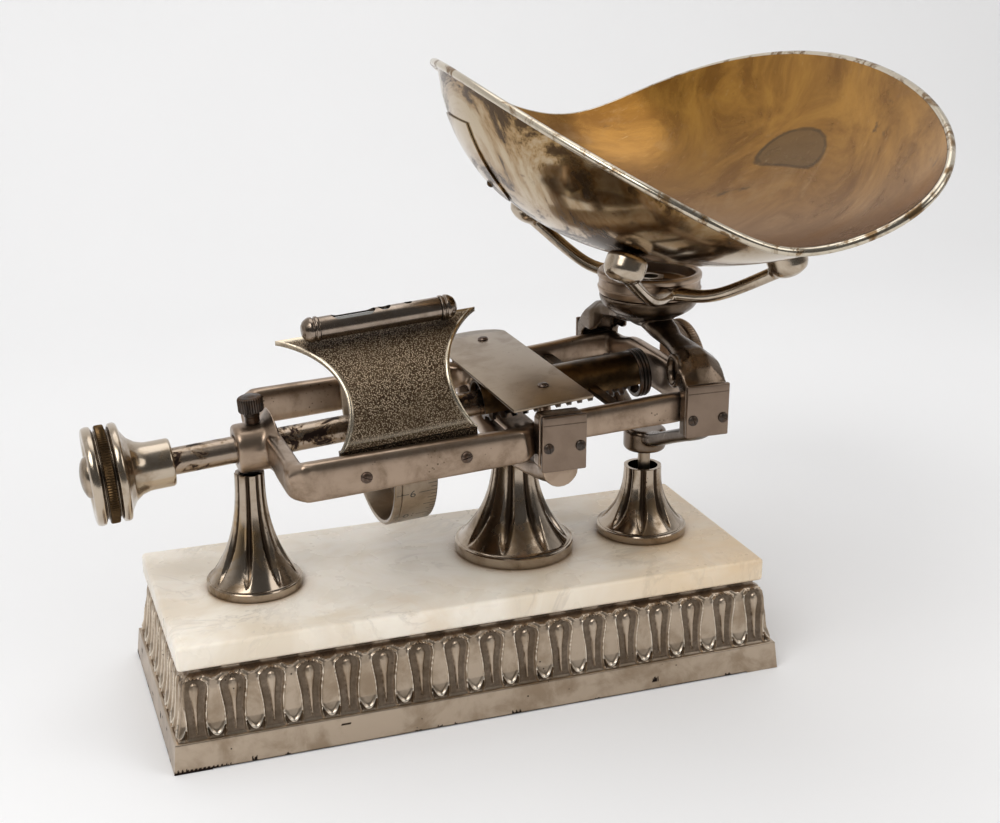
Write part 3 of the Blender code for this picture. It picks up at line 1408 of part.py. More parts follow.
def build_scale():
    casting = base_casting()
    slab = marble_slab()
    holes = pedestal_holes()
    cut(casting, holes)
    cut(slab, holes)
    pedestals()
    pedestal_nuts()
    fulcrum_bearings_and_covers(fulcrum_yoke())
    frame = beam_frame()
    arm_outer = arm_span_at_fulcrum + arm_width_right / 2
    knives("fulcrum_knife", 0, 1, arm_outer - arm_width_right + seat_gap,
           cheek_inner + cheek_thickness - seat_gap)
    arm_outer = arm_span_at_load + arm_width_right / 2
    knives("load_knife", load_arm, -1, arm_outer - arm_width_right + seat_gap,
           load_cheek_inner + load_cheek_thickness - seat_gap)
    poise_trough()
    top_plate(frame)
    knife_slots(frame)
    shield_screws(name_shield(), frame)
    level()
    spindle()
    knob()
    ounce_drum()
    lead_screw()
    clamp_thumbscrew()
    balance_wheel()
    yoke = load_yoke()
    load_bearings_and_covers(yoke)
    check_rod()
    check_bracket(check_link())
    spider(scoop_pan())
    nose_patch()


build_scale()
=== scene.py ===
import json
import math
import random

import bmesh
import bpy
import numpy as np
from mathutils import Matrix, Vector


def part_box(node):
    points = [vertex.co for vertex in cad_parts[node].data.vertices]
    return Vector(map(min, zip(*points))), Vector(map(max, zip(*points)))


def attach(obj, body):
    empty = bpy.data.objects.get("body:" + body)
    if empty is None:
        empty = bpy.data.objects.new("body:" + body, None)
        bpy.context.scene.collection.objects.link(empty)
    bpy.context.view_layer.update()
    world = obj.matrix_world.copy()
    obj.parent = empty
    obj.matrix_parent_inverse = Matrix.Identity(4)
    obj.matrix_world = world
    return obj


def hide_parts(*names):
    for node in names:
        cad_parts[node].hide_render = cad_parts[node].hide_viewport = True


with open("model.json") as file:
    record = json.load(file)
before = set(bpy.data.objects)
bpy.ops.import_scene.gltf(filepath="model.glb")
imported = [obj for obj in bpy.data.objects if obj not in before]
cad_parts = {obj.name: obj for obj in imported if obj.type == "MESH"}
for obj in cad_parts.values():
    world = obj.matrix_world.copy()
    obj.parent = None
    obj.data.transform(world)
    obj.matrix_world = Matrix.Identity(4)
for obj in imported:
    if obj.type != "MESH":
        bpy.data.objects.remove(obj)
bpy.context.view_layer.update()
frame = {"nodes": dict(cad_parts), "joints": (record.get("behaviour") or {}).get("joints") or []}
scene = bpy.context.scene
nodes = frame["nodes"]
joints = {joint["name"]: joint for joint in frame["joints"]}
mm = 0.001
quarter = math.pi / 2
print("frame loaded:", len(nodes), "nodes")

# Places on the scale, read from its joints
beamPoint = Vector(joints["beam_tilt"]["pos_m"])
beamAxis = Vector(joints["poise_slide"]["axis"])
beamTilt = math.atan2(beamAxis.z, beamAxis.x)
tiltTurn = Matrix.Rotation(-beamTilt, 4, "Y")
beamPlace = Matrix.Translation(beamPoint) @ tiltTurn
alongX = Matrix.Rotation(quarter, 4, "Y")
upright = Matrix.Rotation(quarter, 4, "X")
shaftPlace = Matrix.Translation(Vector(joints["poise_turn"]["pos_m"])) @ tiltTurn @ alongX
clampPlace = Matrix.Translation(Vector(joints["clamp_turn"]["pos_m"])) @ tiltTurn
loadPoint = Vector(joints["load_swing"]["pos_m"])
loadPlace = Matrix.Translation(loadPoint)
scoopSeat = (-0.6, -5.8, 73.2)  # lowest point of the scoop, in millimetres from the load knives
scoopPlace = Matrix.Translation(loadPoint + Vector(scoopSeat) * mm)
shaftRise = 3.1  # rod's axis above the main knives, in millimetres


def cornersOf(node):
    return [Vector(corner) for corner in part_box(node)]


def middleOf(node):
    low, high = cornersOf(node)
    return (low + high) / 2


# Helpers that make meshes


def applied(piece):
    graph = bpy.context.evaluated_depsgraph_get()
    mesh = bpy.data.meshes.new_from_object(piece.evaluated_get(graph))
    piece.modifiers.clear()
    piece.data = mesh
    return piece


def meshPiece(name, points, faces, material, place=None, sharp=38, weld=0.004 * mm):
    mesh = bpy.data.meshes.new(name)
    mesh.from_pydata([tuple(point) for point in points], [], faces)
    work = bmesh.new()
    work.from_mesh(mesh)
    bmesh.ops.remove_doubles(work, verts=work.verts, dist=weld)
    bmesh.ops.recalc_face_normals(work, faces=work.faces)
    work.to_mesh(mesh)
    work.free()
    if place is not None:
        mesh.transform(place)
    return finishedPiece(name, mesh, material, sharp)


def smoothed(mesh, sharp):
    mesh.shade_smooth()
    mesh.set_sharp_from_angle(angle=math.radians(sharp))


def finishedPiece(name, mesh, material, sharp=38):
    smoothed(mesh, sharp)
    mesh.materials.clear()
    if material:
        mesh.materials.append(material)
    piece = bpy.data.objects.new(name, mesh)
    scene.collection.objects.link(piece)
    return piece


def paintPoints(mesh, name, values):
    # Keeps a value at each point for a finish to read
    layer = mesh.attributes.new(name, "FLOAT", "POINT")
    layer.data.foreach_set("value", np.array(values, np.float32))


def ringFaces(rows, count, closed=False):
    # Quads between rings of points that follow each other
    faces = []
    for row in range(rows if closed else rows - 1):
        after = (row + 1) % rows
        for i in range(count):
            j = (i + 1) % count
            faces.append((row * count + i, row * count + j, after * count + j, after * count + i))
    return faces


def shellFaces(rows, columns):
    # Quads of a sheet with a front and a back layer of points, and of its four edges
    count = columns + 1
    total = count * (rows + 1)
    faces = []
    for row in range(rows):
        for i in range(columns):
            a = row * count + i
            faces.append((a, a + 1, a + count + 1, a + count))
            faces.append((total + a, total + a + count, total + a + count + 1, total + a + 1))
    for i in range(columns):
        a = rows * count + i
        faces.append((i, total + i, total + i + 1, i + 1))
        faces.append((a, a + 1, total + a + 1, total + a))
    for row in range(rows):
        a, b = row * count, row * count + columns
        faces.append((a, a + count, total + a + count, total + a))
        faces.append((b, total + b, total + b + count, b + count))
    return faces


def softened(profile, radius, ring=False, steps=3):
    # Rounds the corners of a turned profile
    count = len(profile)
    points = [Vector(point) for point in profile]
    rounded = []
    for i, corner in enumerate(points):
        if not ring and i in (0, count - 1):
            rounded.append(corner)
            continue
        before = points[i - 1] - corner
        after = points[(i + 1) % count] - corner
        if before.length < 1e-7 or after.length < 1e-7 or abs(before.angle(after)) > 2.75:
            rounded.append(corner)
            continue
        reach = min(radius, before.length * 0.42, after.length * 0.42)
        start = corner + before.normalized() * reach
        end = corner + after.normalized() * reach
        for step in range(steps + 1):
            share = step / steps
            rounded.append(start * (1 - share) ** 2 + corner * 2 * share * (1 - share) + end * share ** 2)
    return [(point.x, point.y) for point in rounded]


def turnedPiece(name, profile, material, place, steps=96, ring=False, radius=0.4 * mm, relief=None,
                sharp=38):
    # Turned piece from (radius, height) points about the place's Z axis
    line = softened(profile, radius, ring) if radius else profile
    points = []
    for r, z in line:
        for i in range(steps):
            angle = math.tau * i / steps
            reach = relief(r, z, angle) if relief else r
            points.append((reach * math.cos(angle), reach * math.sin(angle), z))
    return meshPiece(name, points, ringFaces(len(line), steps, ring), material, place, sharp)


def shaftLine(points):
    # Turned profile given in millimetres
    return [(r * mm, z * mm) for r, z in points]


def lofted(name, rings, material=None, place=None, closed=False, sharp=38):
    count = len(rings[0])
    points = [point for ring in rings for point in ring]
    total = len(rings)
    faces = ringFaces(total, count, closed)
    if not closed:
        faces.append(tuple(range(count)))
        faces.append(tuple(range((total - 1) * count, total * count)))
    return meshPiece(name, points, faces, material, place, sharp)


def smoothStations(stations, spans=5):
    # Catmull-Rom curve through rows of numbers
    table = np.array(stations, float)
    padded = np.vstack([2 * table[0] - table[1], table, 2 * table[-1] - table[-2]])
    rows = []
    for i in range(1, len(padded) - 2):
        a, b, c, d = padded[i - 1:i + 3]
        for step in range(spans):
            t = step / spans
            rows.append(0.5 * (2 * b + (c - a) * t + (2 * a - 5 * b + 4 * c - d) * t ** 2
                               + (3 * b - a - 3 * c + d) * t ** 3))
    rows.append(table[-1])
    return rows


def roundedSection(halfAcross, halfTall, power=3.2, count=28):
    # Superellipse as (across, tall) pairs
    section = []
    for i in range(count):
        angle = math.tau * (i + 0.5) / count
        c, s = math.cos(angle), math.sin(angle)
        across = math.copysign(abs(c) ** (2 / power), c) * halfAcross
        tall = math.copysign(abs(s) ** (2 / power), s) * halfTall
        section.append((across, tall))
    return section


def plateSolid(name, outline, low, high, material=None, place=None, sharp=30):
    # Flat outline in XY between two heights
    rings = [[(x, y, low) for x, y in outline], [(x, y, high) for x, y in outline]]
    return lofted(name, rings, material, place, sharp=sharp)


def boxSolid(name, size, middle, material=None, place=None):
    x, y, z = (half / 2 for half in size)
    outline = [(middle[0] - x, middle[1] - y), (middle[0] + x, middle[1] - y),
               (middle[0] + x, middle[1] + y), (middle[0] - x, middle[1] + y)]
    return plateSolid(name, outline, middle[2] - z, middle[2] + z, material, place)


def arcPoints(centre, radius, start, end, count):
    angles = [math.radians(start + (end - start) * i / count) for i in range(count + 1)]
    return [(centre[0] + radius * math.cos(a), centre[1] + radius * math.sin(a)) for a in angles]


def barAlong(name, path, material=None, place=None, spans=6, power=2, count=20, flatten=None):
    # Bar along a smooth path of (x, y, z, half across, half tall) stations
    rows = smoothStations(path, spans)
    rings = []
    side = None
    for number, row in enumerate(rows):
        here = Vector(row[:3])
        before = Vector(rows[max(number - 1, 0)][:3])
        after = Vector(rows[min(number + 1, len(rows) - 1)][:3])
        ahead = (after - before).normalized()
        if flatten is not None:
            side = Vector(flatten)
        elif side is None:
            side = ahead.orthogonal().normalized()
        side = (side - ahead * side.dot(ahead)).normalized()
        up = ahead.cross(side)
        rings.append([here + side * a + up * t for a, t in roundedSection(row[3], row[4], power, count)])
    return lofted(name, rings, material, place)


def combine(target, tool, operation="DIFFERENCE"):
    change = target.modifiers.new("joining", "BOOLEAN")
    change.solver = "EXACT"
    change.operation = operation
    change.object = tool
    applied(target)
    bpy.data.objects.remove(tool)
    return target


def castPiece(name, solids, voxel, passes, material, cutters=(), sharp=48):
    # Melts solids into one casting with soft fillets
    whole = bmesh.new()
    for solid in solids:
        for cutter in cutters:
            change = solid.modifiers.new("opening", "BOOLEAN")
            change.solver = "EXACT"
            change.object = cutter
        if cutters:
            applied(solid)
        whole.from_mesh(solid.data)
    mesh = bpy.data.meshes.new(name)
    whole.to_mesh(mesh)
    whole.free()
    for used in [*solids, *cutters]:
        bpy.data.objects.remove(used)
    casting = bpy.data.objects.new(name, mesh)
    scene.collection.objects.link(casting)
    remesh = casting.modifiers.new("casting", "REMESH")
    remesh.mode = "VOXEL"
    remesh.voxel_size = voxel
    smooth = casting.modifiers.new("dressing", "SMOOTH")
    smooth.factor = 0.5
    smooth.iterations = passes
    applied(casting)
    mesh = casting.data
    bpy.data.objects.remove(casting)
    return finishedPiece(name, mesh, material, sharp)


def bevelled(piece, width, segments=3, angle=35):
    change = piece.modifiers.new("edges", "BEVEL")
    change.width = width
    change.segments = segments
    change.limit_method = "ANGLE"
    change.angle_limit = math.radians(angle)
    applied(piece)
    smoothed(piece.data, 50)
    return piece


def dressSolid(node, material):
    # Gives a finish to a solid that is shown as it is
    nodes[node].data.materials.clear()
    nodes[node].data.materials.append(material)


def settle(piece, body, slot, *replaced):
    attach(piece, body)
    if replaced:
        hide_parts(*replaced)
    return piece


# Helpers that make materials


class Shading:
    def __init__(self, tree):
        self.tree = tree

    def add(self, kind, **values):
        # Adds a node, with plain values for sockets whose names are given with _ for a space
        node = self.tree.nodes.new("ShaderNode" + kind)
        for name, value in values.items():
            node.inputs[name.replace("_", " ")].default_value = value
        return node

    def link(self, source, target):
        self.tree.links.new(source, target)

    def nodeOf(self, kind, source):
        node = self.add(kind)
        self.link(source, node.inputs[0])
        return node

    def between(self, value, low, high, start=0.0, end=1.0):
        node = self.add("MapRange", From_Min=low, From_Max=high, To_Min=start, To_Max=end)
        node.interpolation_type = "SMOOTHSTEP"
        self.link(value, node.inputs["Value"])
        return node.outputs["Result"]

    def maths(self, operation, first, second):
        node = self.add("Math")
        node.operation = operation
        for socket, value in zip(node.inputs, (first, second)):
            if isinstance(value, (int, float)):
                socket.default_value = value
            else:
                self.link(value, socket)
        return node.outputs["Value"]

    def times(self, first, second):
        return self.maths("MULTIPLY", first, second)

    def plus(self, first, second):
        return self.maths("ADD", first, second)

    def minus(self, first, second):
        return self.maths("SUBTRACT", first, second)

    def apart(self, first, second):
        return self.maths("ABSOLUTE", self.minus(first, second), 0)


class Finish(Shading):
    def __init__(self, name):
        self.material = bpy.data.materials.new(name)
        self.material.use_nodes = True
        super().__init__(self.material.node_tree)
        self.shader = self.tree.nodes["Principled BSDF"]
        self.place = self.add("TexCoord").outputs["Object"]

    def noise(self, scale, detail=4, roughness=0.55, distortion=0.0, stretch=None):
        node = self.add("TexNoise", Scale=scale, Detail=detail, Roughness=roughness, Distortion=distortion)
        self.link(self.stretched(stretch), node.inputs["Vector"])
        return node.outputs["Fac"]

    def cells(self, scale):
        node = self.add("TexVoronoi", Scale=scale)
        self.link(self.place, node.inputs["Vector"])
        return node.outputs["Distance"]

    def stretched(self, stretch):
        if stretch is None:
            return self.place
        node = self.add("Mapping", Scale=stretch)
        self.link(self.place, node.inputs["Vector"])
        return node.outputs["Vector"]

    def blend(self, share, first, second, strength=None):
        if strength is not None:
            share = self.times(share, strength)
        node = self.add("Mix")
        node.data_type = "RGBA"
        self.link(share, node.inputs["Factor"])
        for socket, value in ((node.inputs["A"], first), (node.inputs["B"], second)):
            if isinstance(value, tuple):
                socket.default_value = (*value, 1)
            else:
                self.link(value, socket)
        return node.outputs["Result"]

    # Painted shade: ambient occlusion, low in corners and hollows where surfaces crowd each other
    def grime(self, distance):
        node = self.add("AmbientOcclusion", Distance=distance)
        node.samples = 6
        return node.outputs["AO"]

    def edges(self):
        node = self.add("NewGeometry")
        return self.between(node.outputs["Pointiness"], 0.51, 0.56)

    def painted(self, name):
        node = self.add("Attribute")
        node.attribute_name = name
        return node.outputs["Fac"]

    def bump(self, height, distance, strength=1.0):
        node = self.add("Bump", Strength=strength, Distance=distance)
        self.link(height, node.inputs["Height"])
        self.link(node.outputs["Normal"], self.shader.inputs["Normal"])

    def give(self, color, roughness, metallic):
        if isinstance(color, tuple):
            self.shader.inputs["Base Color"].default_value = (*color, 1)
        else:
            self.link(color, self.shader.inputs["Base Color"])
        if isinstance(roughness, (int, float)):
            self.shader.inputs["Roughness"].default_value = roughness
        else:
            self.link(roughness, self.shader.inputs["Roughness"])
        self.shader.inputs["Metallic"].default_value = metallic
        return self.material


# Plated metal: bright plate, brown patina in clouds, painted shade in corners, worn edges and pits
plateBase = dict(cloudLow=0.4, cloudHigh=0.66, pits=0.8)
plateLooks = {
    "satinNickel": dict(clean=(0.31, 0.245, 0.18), patina=(0.21, 0.155, 0.105), shadeAndPitColor=(0.05, 0.034, 0.022),
                        cloud=55, cloudLow=0.42, cloudHigh=0.66, rough=(0.28, 0.4), pits=0.6, shadeReach=5,
                        edge=0.4),
    "agedNickel": dict(clean=(0.42, 0.345, 0.265), patina=(0.17, 0.118, 0.072), shadeAndPitColor=(0.03, 0.018, 0.011),
                       cloud=38, rough=(0.17, 0.32), shadeReach=9,
                       edge=0.5),
    "castNickel": dict(clean=(0.38, 0.285, 0.21), patina=(0.22, 0.155, 0.105), shadeAndPitColor=(0.04, 0.025, 0.016),
                       cloud=48, rough=(0.3, 0.42), shadeReach=7,
                       edge=0.45),
    "coverNickel": dict(clean=(0.19, 0.14, 0.105), patina=(0.125, 0.088, 0.06), shadeAndPitColor=(0.04, 0.025, 0.016),
                        cloud=52, rough=(0.3, 0.4), shadeReach=4,
                        edge=0.6),
    "darkCasting": dict(clean=(0.17, 0.127, 0.094), patina=(0.08, 0.054, 0.033), shadeAndPitColor=(0.03, 0.019, 0.012),
                        cloud=40, cloudLow=0.36, cloudHigh=0.62, rough=(0.24, 0.38), shadeReach=9,
                        edge=0.5),
    "brightNickel": dict(clean=(0.50, 0.42, 0.33), patina=(0.30, 0.225, 0.15), shadeAndPitColor=(0.05, 0.032, 0.02),
                         cloud=60, cloudLow=0.44, cloudHigh=0.68, rough=(0.18, 0.32), pits=0.5, shadeReach=4,
                         edge=0.35),
    "levelNickel": dict(clean=(0.33, 0.27, 0.22), patina=(0.17, 0.125, 0.09), shadeAndPitColor=(0.03, 0.02, 0.014),
                        cloud=70, rough=(0.16, 0.28), pits=0.5, shadeReach=3,
                        edge=0.3),
}


def platedMetal(name, look):
    look = plateBase | look
    finish = Finish(name)
    cloud = finish.between(finish.noise(look["cloud"], 6, 0.62, 0.4), look["cloudLow"], look["cloudHigh"])
    fine = finish.noise(look["cloud"] * 9, 5, 0.7)
    mottled = finish.times(cloud, finish.between(fine, 0.2, 0.7, 0.55, 1.0))
    color = finish.blend(mottled, look["clean"], look["patina"])
    brighter = tuple(min(c * 1.35, 1) for c in look["clean"])
    color = finish.blend(finish.edges(), color, brighter, look["edge"])
    # Painted shade: the colour is darkened in corners and hollows found by ambient occlusion
    corner = finish.between(finish.grime(look["shadeReach"] * mm), 0.25, 0.8, 1.0, 0.0)
    corner = finish.times(corner, finish.between(fine, 0.25, 0.75, 0.6, 1.0))
    color = finish.blend(corner, color, look["shadeAndPitColor"])
    spots = finish.between(finish.cells(420), 0.1, 0.26, look["pits"], 0.0)
    spots = finish.times(spots, finish.between(finish.noise(60, 3), 0.55, 0.68))
    color = finish.blend(spots, color, look["shadeAndPitColor"])
    smooth, dull = look["rough"]
    roughness = finish.between(finish.plus(mottled, corner), 0.0, 1.4, smooth, dull)
    finish.bump(finish.minus(fine, finish.times(spots, 2.0)), 0.05 * mm, 0.5)
    return finish.give(color, roughness, 1.0)


satinNickel, agedNickel, castNickel, coverNickel, darkCasting, brightNickel, levelNickel = (
    platedMetal(name, look) for name, look in plateLooks.items())


def darkMetal(name, color, rust, roughness):
    finish = Finish(name)
    cloud = finish.between(finish.noise(160, 6, 0.65), 0.4, 0.7)
    tint = finish.blend(cloud, color, rust)
    tint = finish.blend(finish.edges(), tint, tuple(min(c * 3, 1) for c in color), 0.4)
    finish.bump(finish.noise(900, 4, 0.6), 0.04 * mm, 0.5)
    return finish.give(tint, finish.between(cloud, 0, 1, roughness, roughness + 0.15), 0.9)


darkSteel = darkMetal("darkSteel", (0.055, 0.045, 0.038), (0.085, 0.045, 0.022), 0.34)
screwSteel = darkMetal("screwSteel", (0.10, 0.075, 0.06), (0.07, 0.036, 0.02), 0.26)


def oldBrass():
    finish = Finish("oldBrass")
    cloud = finish.between(finish.noise(70, 6, 0.65), 0.35, 0.68)
    color = finish.blend(cloud, (0.12, 0.072, 0.032), (0.04, 0.024, 0.012))
    # Painted shade: the colour is darkened in corners and hollows found by ambient occlusion
    corner = finish.between(finish.grime(4 * mm), 0.3, 0.85, 0.8, 0.0)
    color = finish.blend(corner, color, (0.03, 0.018, 0.01))
    finish.bump(finish.noise(600, 4, 0.6), 0.03 * mm, 0.4)
    return finish.give(color, finish.between(cloud, 0, 1, 0.28, 0.42), 1.0)


brassFinish = oldBrass()


def rodFinish():
    # Shiny rod with ragged black patches where the plate has gone
    finish = Finish("rodNickel")
    patch = finish.noise(52, 8, 0.68, 1.2)
    black = finish.between(patch, 0.54, 0.58)
    halo = finish.between(patch, 0.48, 0.57)
    color = finish.blend(halo, (0.36, 0.285, 0.22), (0.2, 0.135, 0.08))
    color = finish.blend(black, color, (0.035, 0.022, 0.018))
    fine = finish.noise(700, 4, 0.7)
    finish.bump(finish.minus(finish.times(fine, 0.3), black), 0.12 * mm, 0.6)
    return finish.give(color, finish.between(black, 0, 1, 0.24, 0.5), 1.0)


rodNickel = rodFinish()


def reliefFinish():
    # Moulding whose painted height drives painted shade in its hollows and a painted highlight, partly
    # rubbed-bright plate, on its rims
    finish = Finish("mouldingNickel")
    height = finish.painted("relief")
    fine = finish.noise(420, 5, 0.7)
    cloud = finish.between(finish.noise(45, 6, 0.62, 0.4), 0.4, 0.66)
    color = finish.blend(cloud, (0.50, 0.405, 0.31), (0.33, 0.25, 0.175))
    # Painted shade: the low parts of the relief are darkened
    hollow = finish.plus(height, finish.between(fine, 0, 1, -0.1, 0.1))
    hollow = finish.between(hollow, 0.1, 0.56, 1.0, 0.0)
    color = finish.blend(hollow, color, (0.10, 0.068, 0.044), 0.85)
    # Painted highlight, partly rubbed-bright plate: the raised rims and ridges are lightened
    rim = finish.between(height, 0.68, 0.9)
    color = finish.blend(rim, color, (0.86, 0.77, 0.64), 0.9)
    flaked = finish.between(height, -0.6, -0.2, 1.0, 0.0)
    fleck = finish.between(finish.cells(260), 0.06, 0.16, 1.0, 0.0)
    fleck = finish.times(fleck, finish.between(finish.noise(40, 3), 0.56, 0.62))
    chips = finish.maths("MAXIMUM", flaked, fleck)
    color = finish.blend(chips, color, (0.02, 0.013, 0.011))
    roughness = finish.between(finish.plus(hollow, chips), 0, 1, 0.31, 0.55)
    rough = finish.times(finish.plus(hollow, 0.15), fine)
    finish.bump(finish.minus(rough, chips), 0.16 * mm, 0.7)
    return finish.give(color, roughness, 1.0)


mouldingNickel = reliefFinish()


def marbleFinish():
    # Cream stone with soft grey veins, warm clouds, rusty stains round the right end and rusty-brown painted
    # shade round the pedestals
    finish = Finish("marble")
    warp = finish.noise(14, 6, 0.6, 1.6)
    vein = finish.apart(warp, 0.5)
    vein = finish.between(vein, 0.0, 0.03, 1.0, 0.0)
    vein = finish.times(vein, finish.between(finish.noise(11, 3), 0.4, 0.64))
    cloud = finish.between(finish.noise(12, 6, 0.6, 1.2, (1, 1.5, 1)), 0.36, 0.66)
    color = finish.blend(cloud, (0.94, 0.87, 0.76), (0.80, 0.70, 0.56))
    color = finish.blend(vein, color, (0.50, 0.44, 0.37), 0.5)
    stain = finish.between(finish.noise(9, 6, 0.62, 0.8, (0.8, 1.3, 1)), 0.5, 0.72)
    color = finish.blend(stain, color, (0.68, 0.47, 0.26), 0.6)
    along = finish.nodeOf("SeparateXYZ", finish.place).outputs["X"]
    warm = finish.between(along, 0.0, 0.14)
    warm = finish.times(warm,
                        finish.between(finish.noise(18, 6, 0.62, 0.6), 0.3, 0.62, 0.25, 0.8))
    color = finish.blend(warm, color, (0.78, 0.58, 0.35))
    # Painted shade: rusty-brown darkening where ambient occlusion finds the pedestals and other parts
    # crowding the stone
    corner = finish.between(finish.grime(9 * mm), 0.4, 0.97, 0.85, 0.0)
    color = finish.blend(corner, color, (0.40, 0.235, 0.11))
    speck = finish.between(finish.cells(170), 0.03, 0.09, 1.0, 0.0)
    speck = finish.times(speck, finish.between(finish.noise(50, 3), 0.6, 0.7))
    color = finish.blend(speck, color, (0.35, 0.25, 0.17), 0.5)
    finish.bump(finish.noise(260, 4, 0.6), 0.03 * mm, 0.25)
    finish.shader.inputs["Subsurface Weight"].default_value = 0.1
    finish.shader.inputs["Subsurface Radius"].default_value = (0.004, 0.003, 0.002)
    return finish.give(color, finish.between(finish.noise(30, 4), 0.3, 0.7, 0.22, 0.36), 0.0)


marble = marbleFinish()


def glassFinish():
    finish = Finish("vialGlass")
    color = finish.blend(finish.between(finish.noise(90, 3), 0.3, 0.7), (0.045, 0.04, 0.02),
                         (0.02, 0.018, 0.01))
    finish.shader.inputs["Coat Weight"].default_value = 1.0
    finish.shader.inputs["Coat Roughness"].default_value = 0.03
    return finish.give(color, 0.08, 0.0)


vialGlass = glassFinish()


def stippleFinish():
    # Finely stippled field of the shield, dark between the bright grains
    finish = Finish("stippledBrass")
    rim = finish.painted("relief")
    grain = finish.cells(1350)
    cloud = finish.between(finish.noise(48, 5, 0.62), 0.34, 0.66)
    color = finish.blend(finish.between(grain, 0.1, 0.6), (0.55, 0.43, 0.295), (0.065, 0.043, 0.026))
    color = finish.blend(cloud, color, (0.15, 0.105, 0.062), 0.3)
    color = finish.blend(rim, color, (0.64, 0.55, 0.42))
    height = finish.times(grain, finish.between(rim, 0.2, 0.8, 1.0, 0.0))
    finish.bump(height, 0.35 * mm, 0.9)
    return finish.give(color, finish.between(rim, 0, 1, 0.36, 0.24), 1.0)


stippledBrass = stippleFinish()
print("finishes made")

# Base: plinth and lamb's-tongue moulding as a carved height over the casting's ogee
basePiece = dict(length=335, width=141, height=50.8, plinth=15.6, draft=1.6, ledge=3.4, neck=11.8,
                 footLength=19, footRelief=1.0, wall=7, ceiling=7, longMotifs=17, shortMotifs=7,
                 columnStep=0.42, rowStep=0.42, chips=11)
baseMiddle = middleOf("base_casting")
basePlace = Matrix.Translation((baseMiddle.x, baseMiddle.y, 0))


def smoothStep(low, high, value):
    share = np.clip((value - low) / (high - low), 0, 1)
    return share * share * (3 - 2 * share)


def mouldingInset(v):
    # Ogee of the moulding, as a share of its sweep
    shares = [0, 0.07, 0.22, 0.5, 0.72, 0.84, 0.9, 0.93, 1]
    sweep = [0, 0.04, 0.2, 0.35, 0.42, 0.52, 0.72, 1, 1]
    return np.interp(v, shares, sweep)


def archHalfWidth(v):
    heights = [0.0, 0.05, 0.11, 0.28, 0.44, 0.58, 0.69, 0.77, 0.82, 0.86, 0.885]
    widths = [0.32, 0.285, 0.262, 0.255, 0.272, 0.31, 0.342, 0.35, 0.325, 0.22, 0.0]
    return np.interp(v, heights, widths)


def tongueHalfWidth(v):
    heights = [0.06, 0.12, 0.3, 0.46, 0.58, 0.67, 0.74, 0.79, 0.82]
    widths = [0.0, 0.026, 0.042, 0.06, 0.09, 0.118, 0.122, 0.086, 0.0]
    return np.interp(v, heights, widths)


# Heights in millimetres, widths as shares of a motif's pitch and heights up the moulding as shares of it
reliefPiece = dict(channel=0.75, tongue=1.35, rim=1.1, rimWidth=0.026, link=0.6, linkWidth=0.014,
                   linkAt=0.865, panel=0.2, under=1.15, shoulder=0.75, leafFoot=0.055, leafRise=3.0,
                   leafRim=0.028)


def carvedHeight(x, v, motifs, reach):
    # Relief in millimetres over x along a side and v up the moulding
    piece = reliefPiece
    pitch = 2 * reach / motifs
    u = (x + reach) / pitch
    a = np.abs(u - np.floor(u) - 0.5)
    b = 0.5 - a
    inside = archHalfWidth(v) - a
    rim = np.exp(-(inside / piece["rimWidth"]) ** 2) * (v < 0.9)
    channel = smoothStep(0.015, 0.07, inside)
    tongue = tongueHalfWidth(v)
    ridge = np.sqrt(np.clip(1 - (a / np.maximum(tongue, 0.001)) ** 2, 0, 1)) * (tongue > 0.004)
    leafBottom = piece["leafFoot"] + piece["leafRise"] * b ** 2
    aboveLeaf = v - leafBottom
    leafRim = np.exp(-(aboveLeaf / piece["leafRim"]) ** 2) * (inside < 0.0) * (v < 0.5)
    under = smoothStep(0.012, 0.05, -aboveLeaf) * (inside < -0.01) * (v < 0.5)
    linkPlace = piece["linkAt"] + 0.9 * b ** 2
    link = np.exp(-((v - linkPlace) / piece["linkWidth"]) ** 2) * (inside < 0) * (b < 0.22)
    shoulder = smoothStep(0.0, 0.03, v - linkPlace) * (inside < 0)
    raised = np.maximum(np.maximum(rim, leafRim), piece["link"] * link)
    height = -piece["channel"] * channel + piece["tongue"] * ridge * channel + piece["rim"] * raised
    panel = (1 - np.clip(b / 0.25, 0, 1) ** 2) * (inside < 0) * (1 - under) * (1 - shoulder)
    height += piece["panel"] * panel
    height -= piece["under"] * under + piece["shoulder"] * shoulder
    fade = smoothStep(0.0, 0.04, v) * (1 - smoothStep(0.93, 0.98, v))
    return height * fade


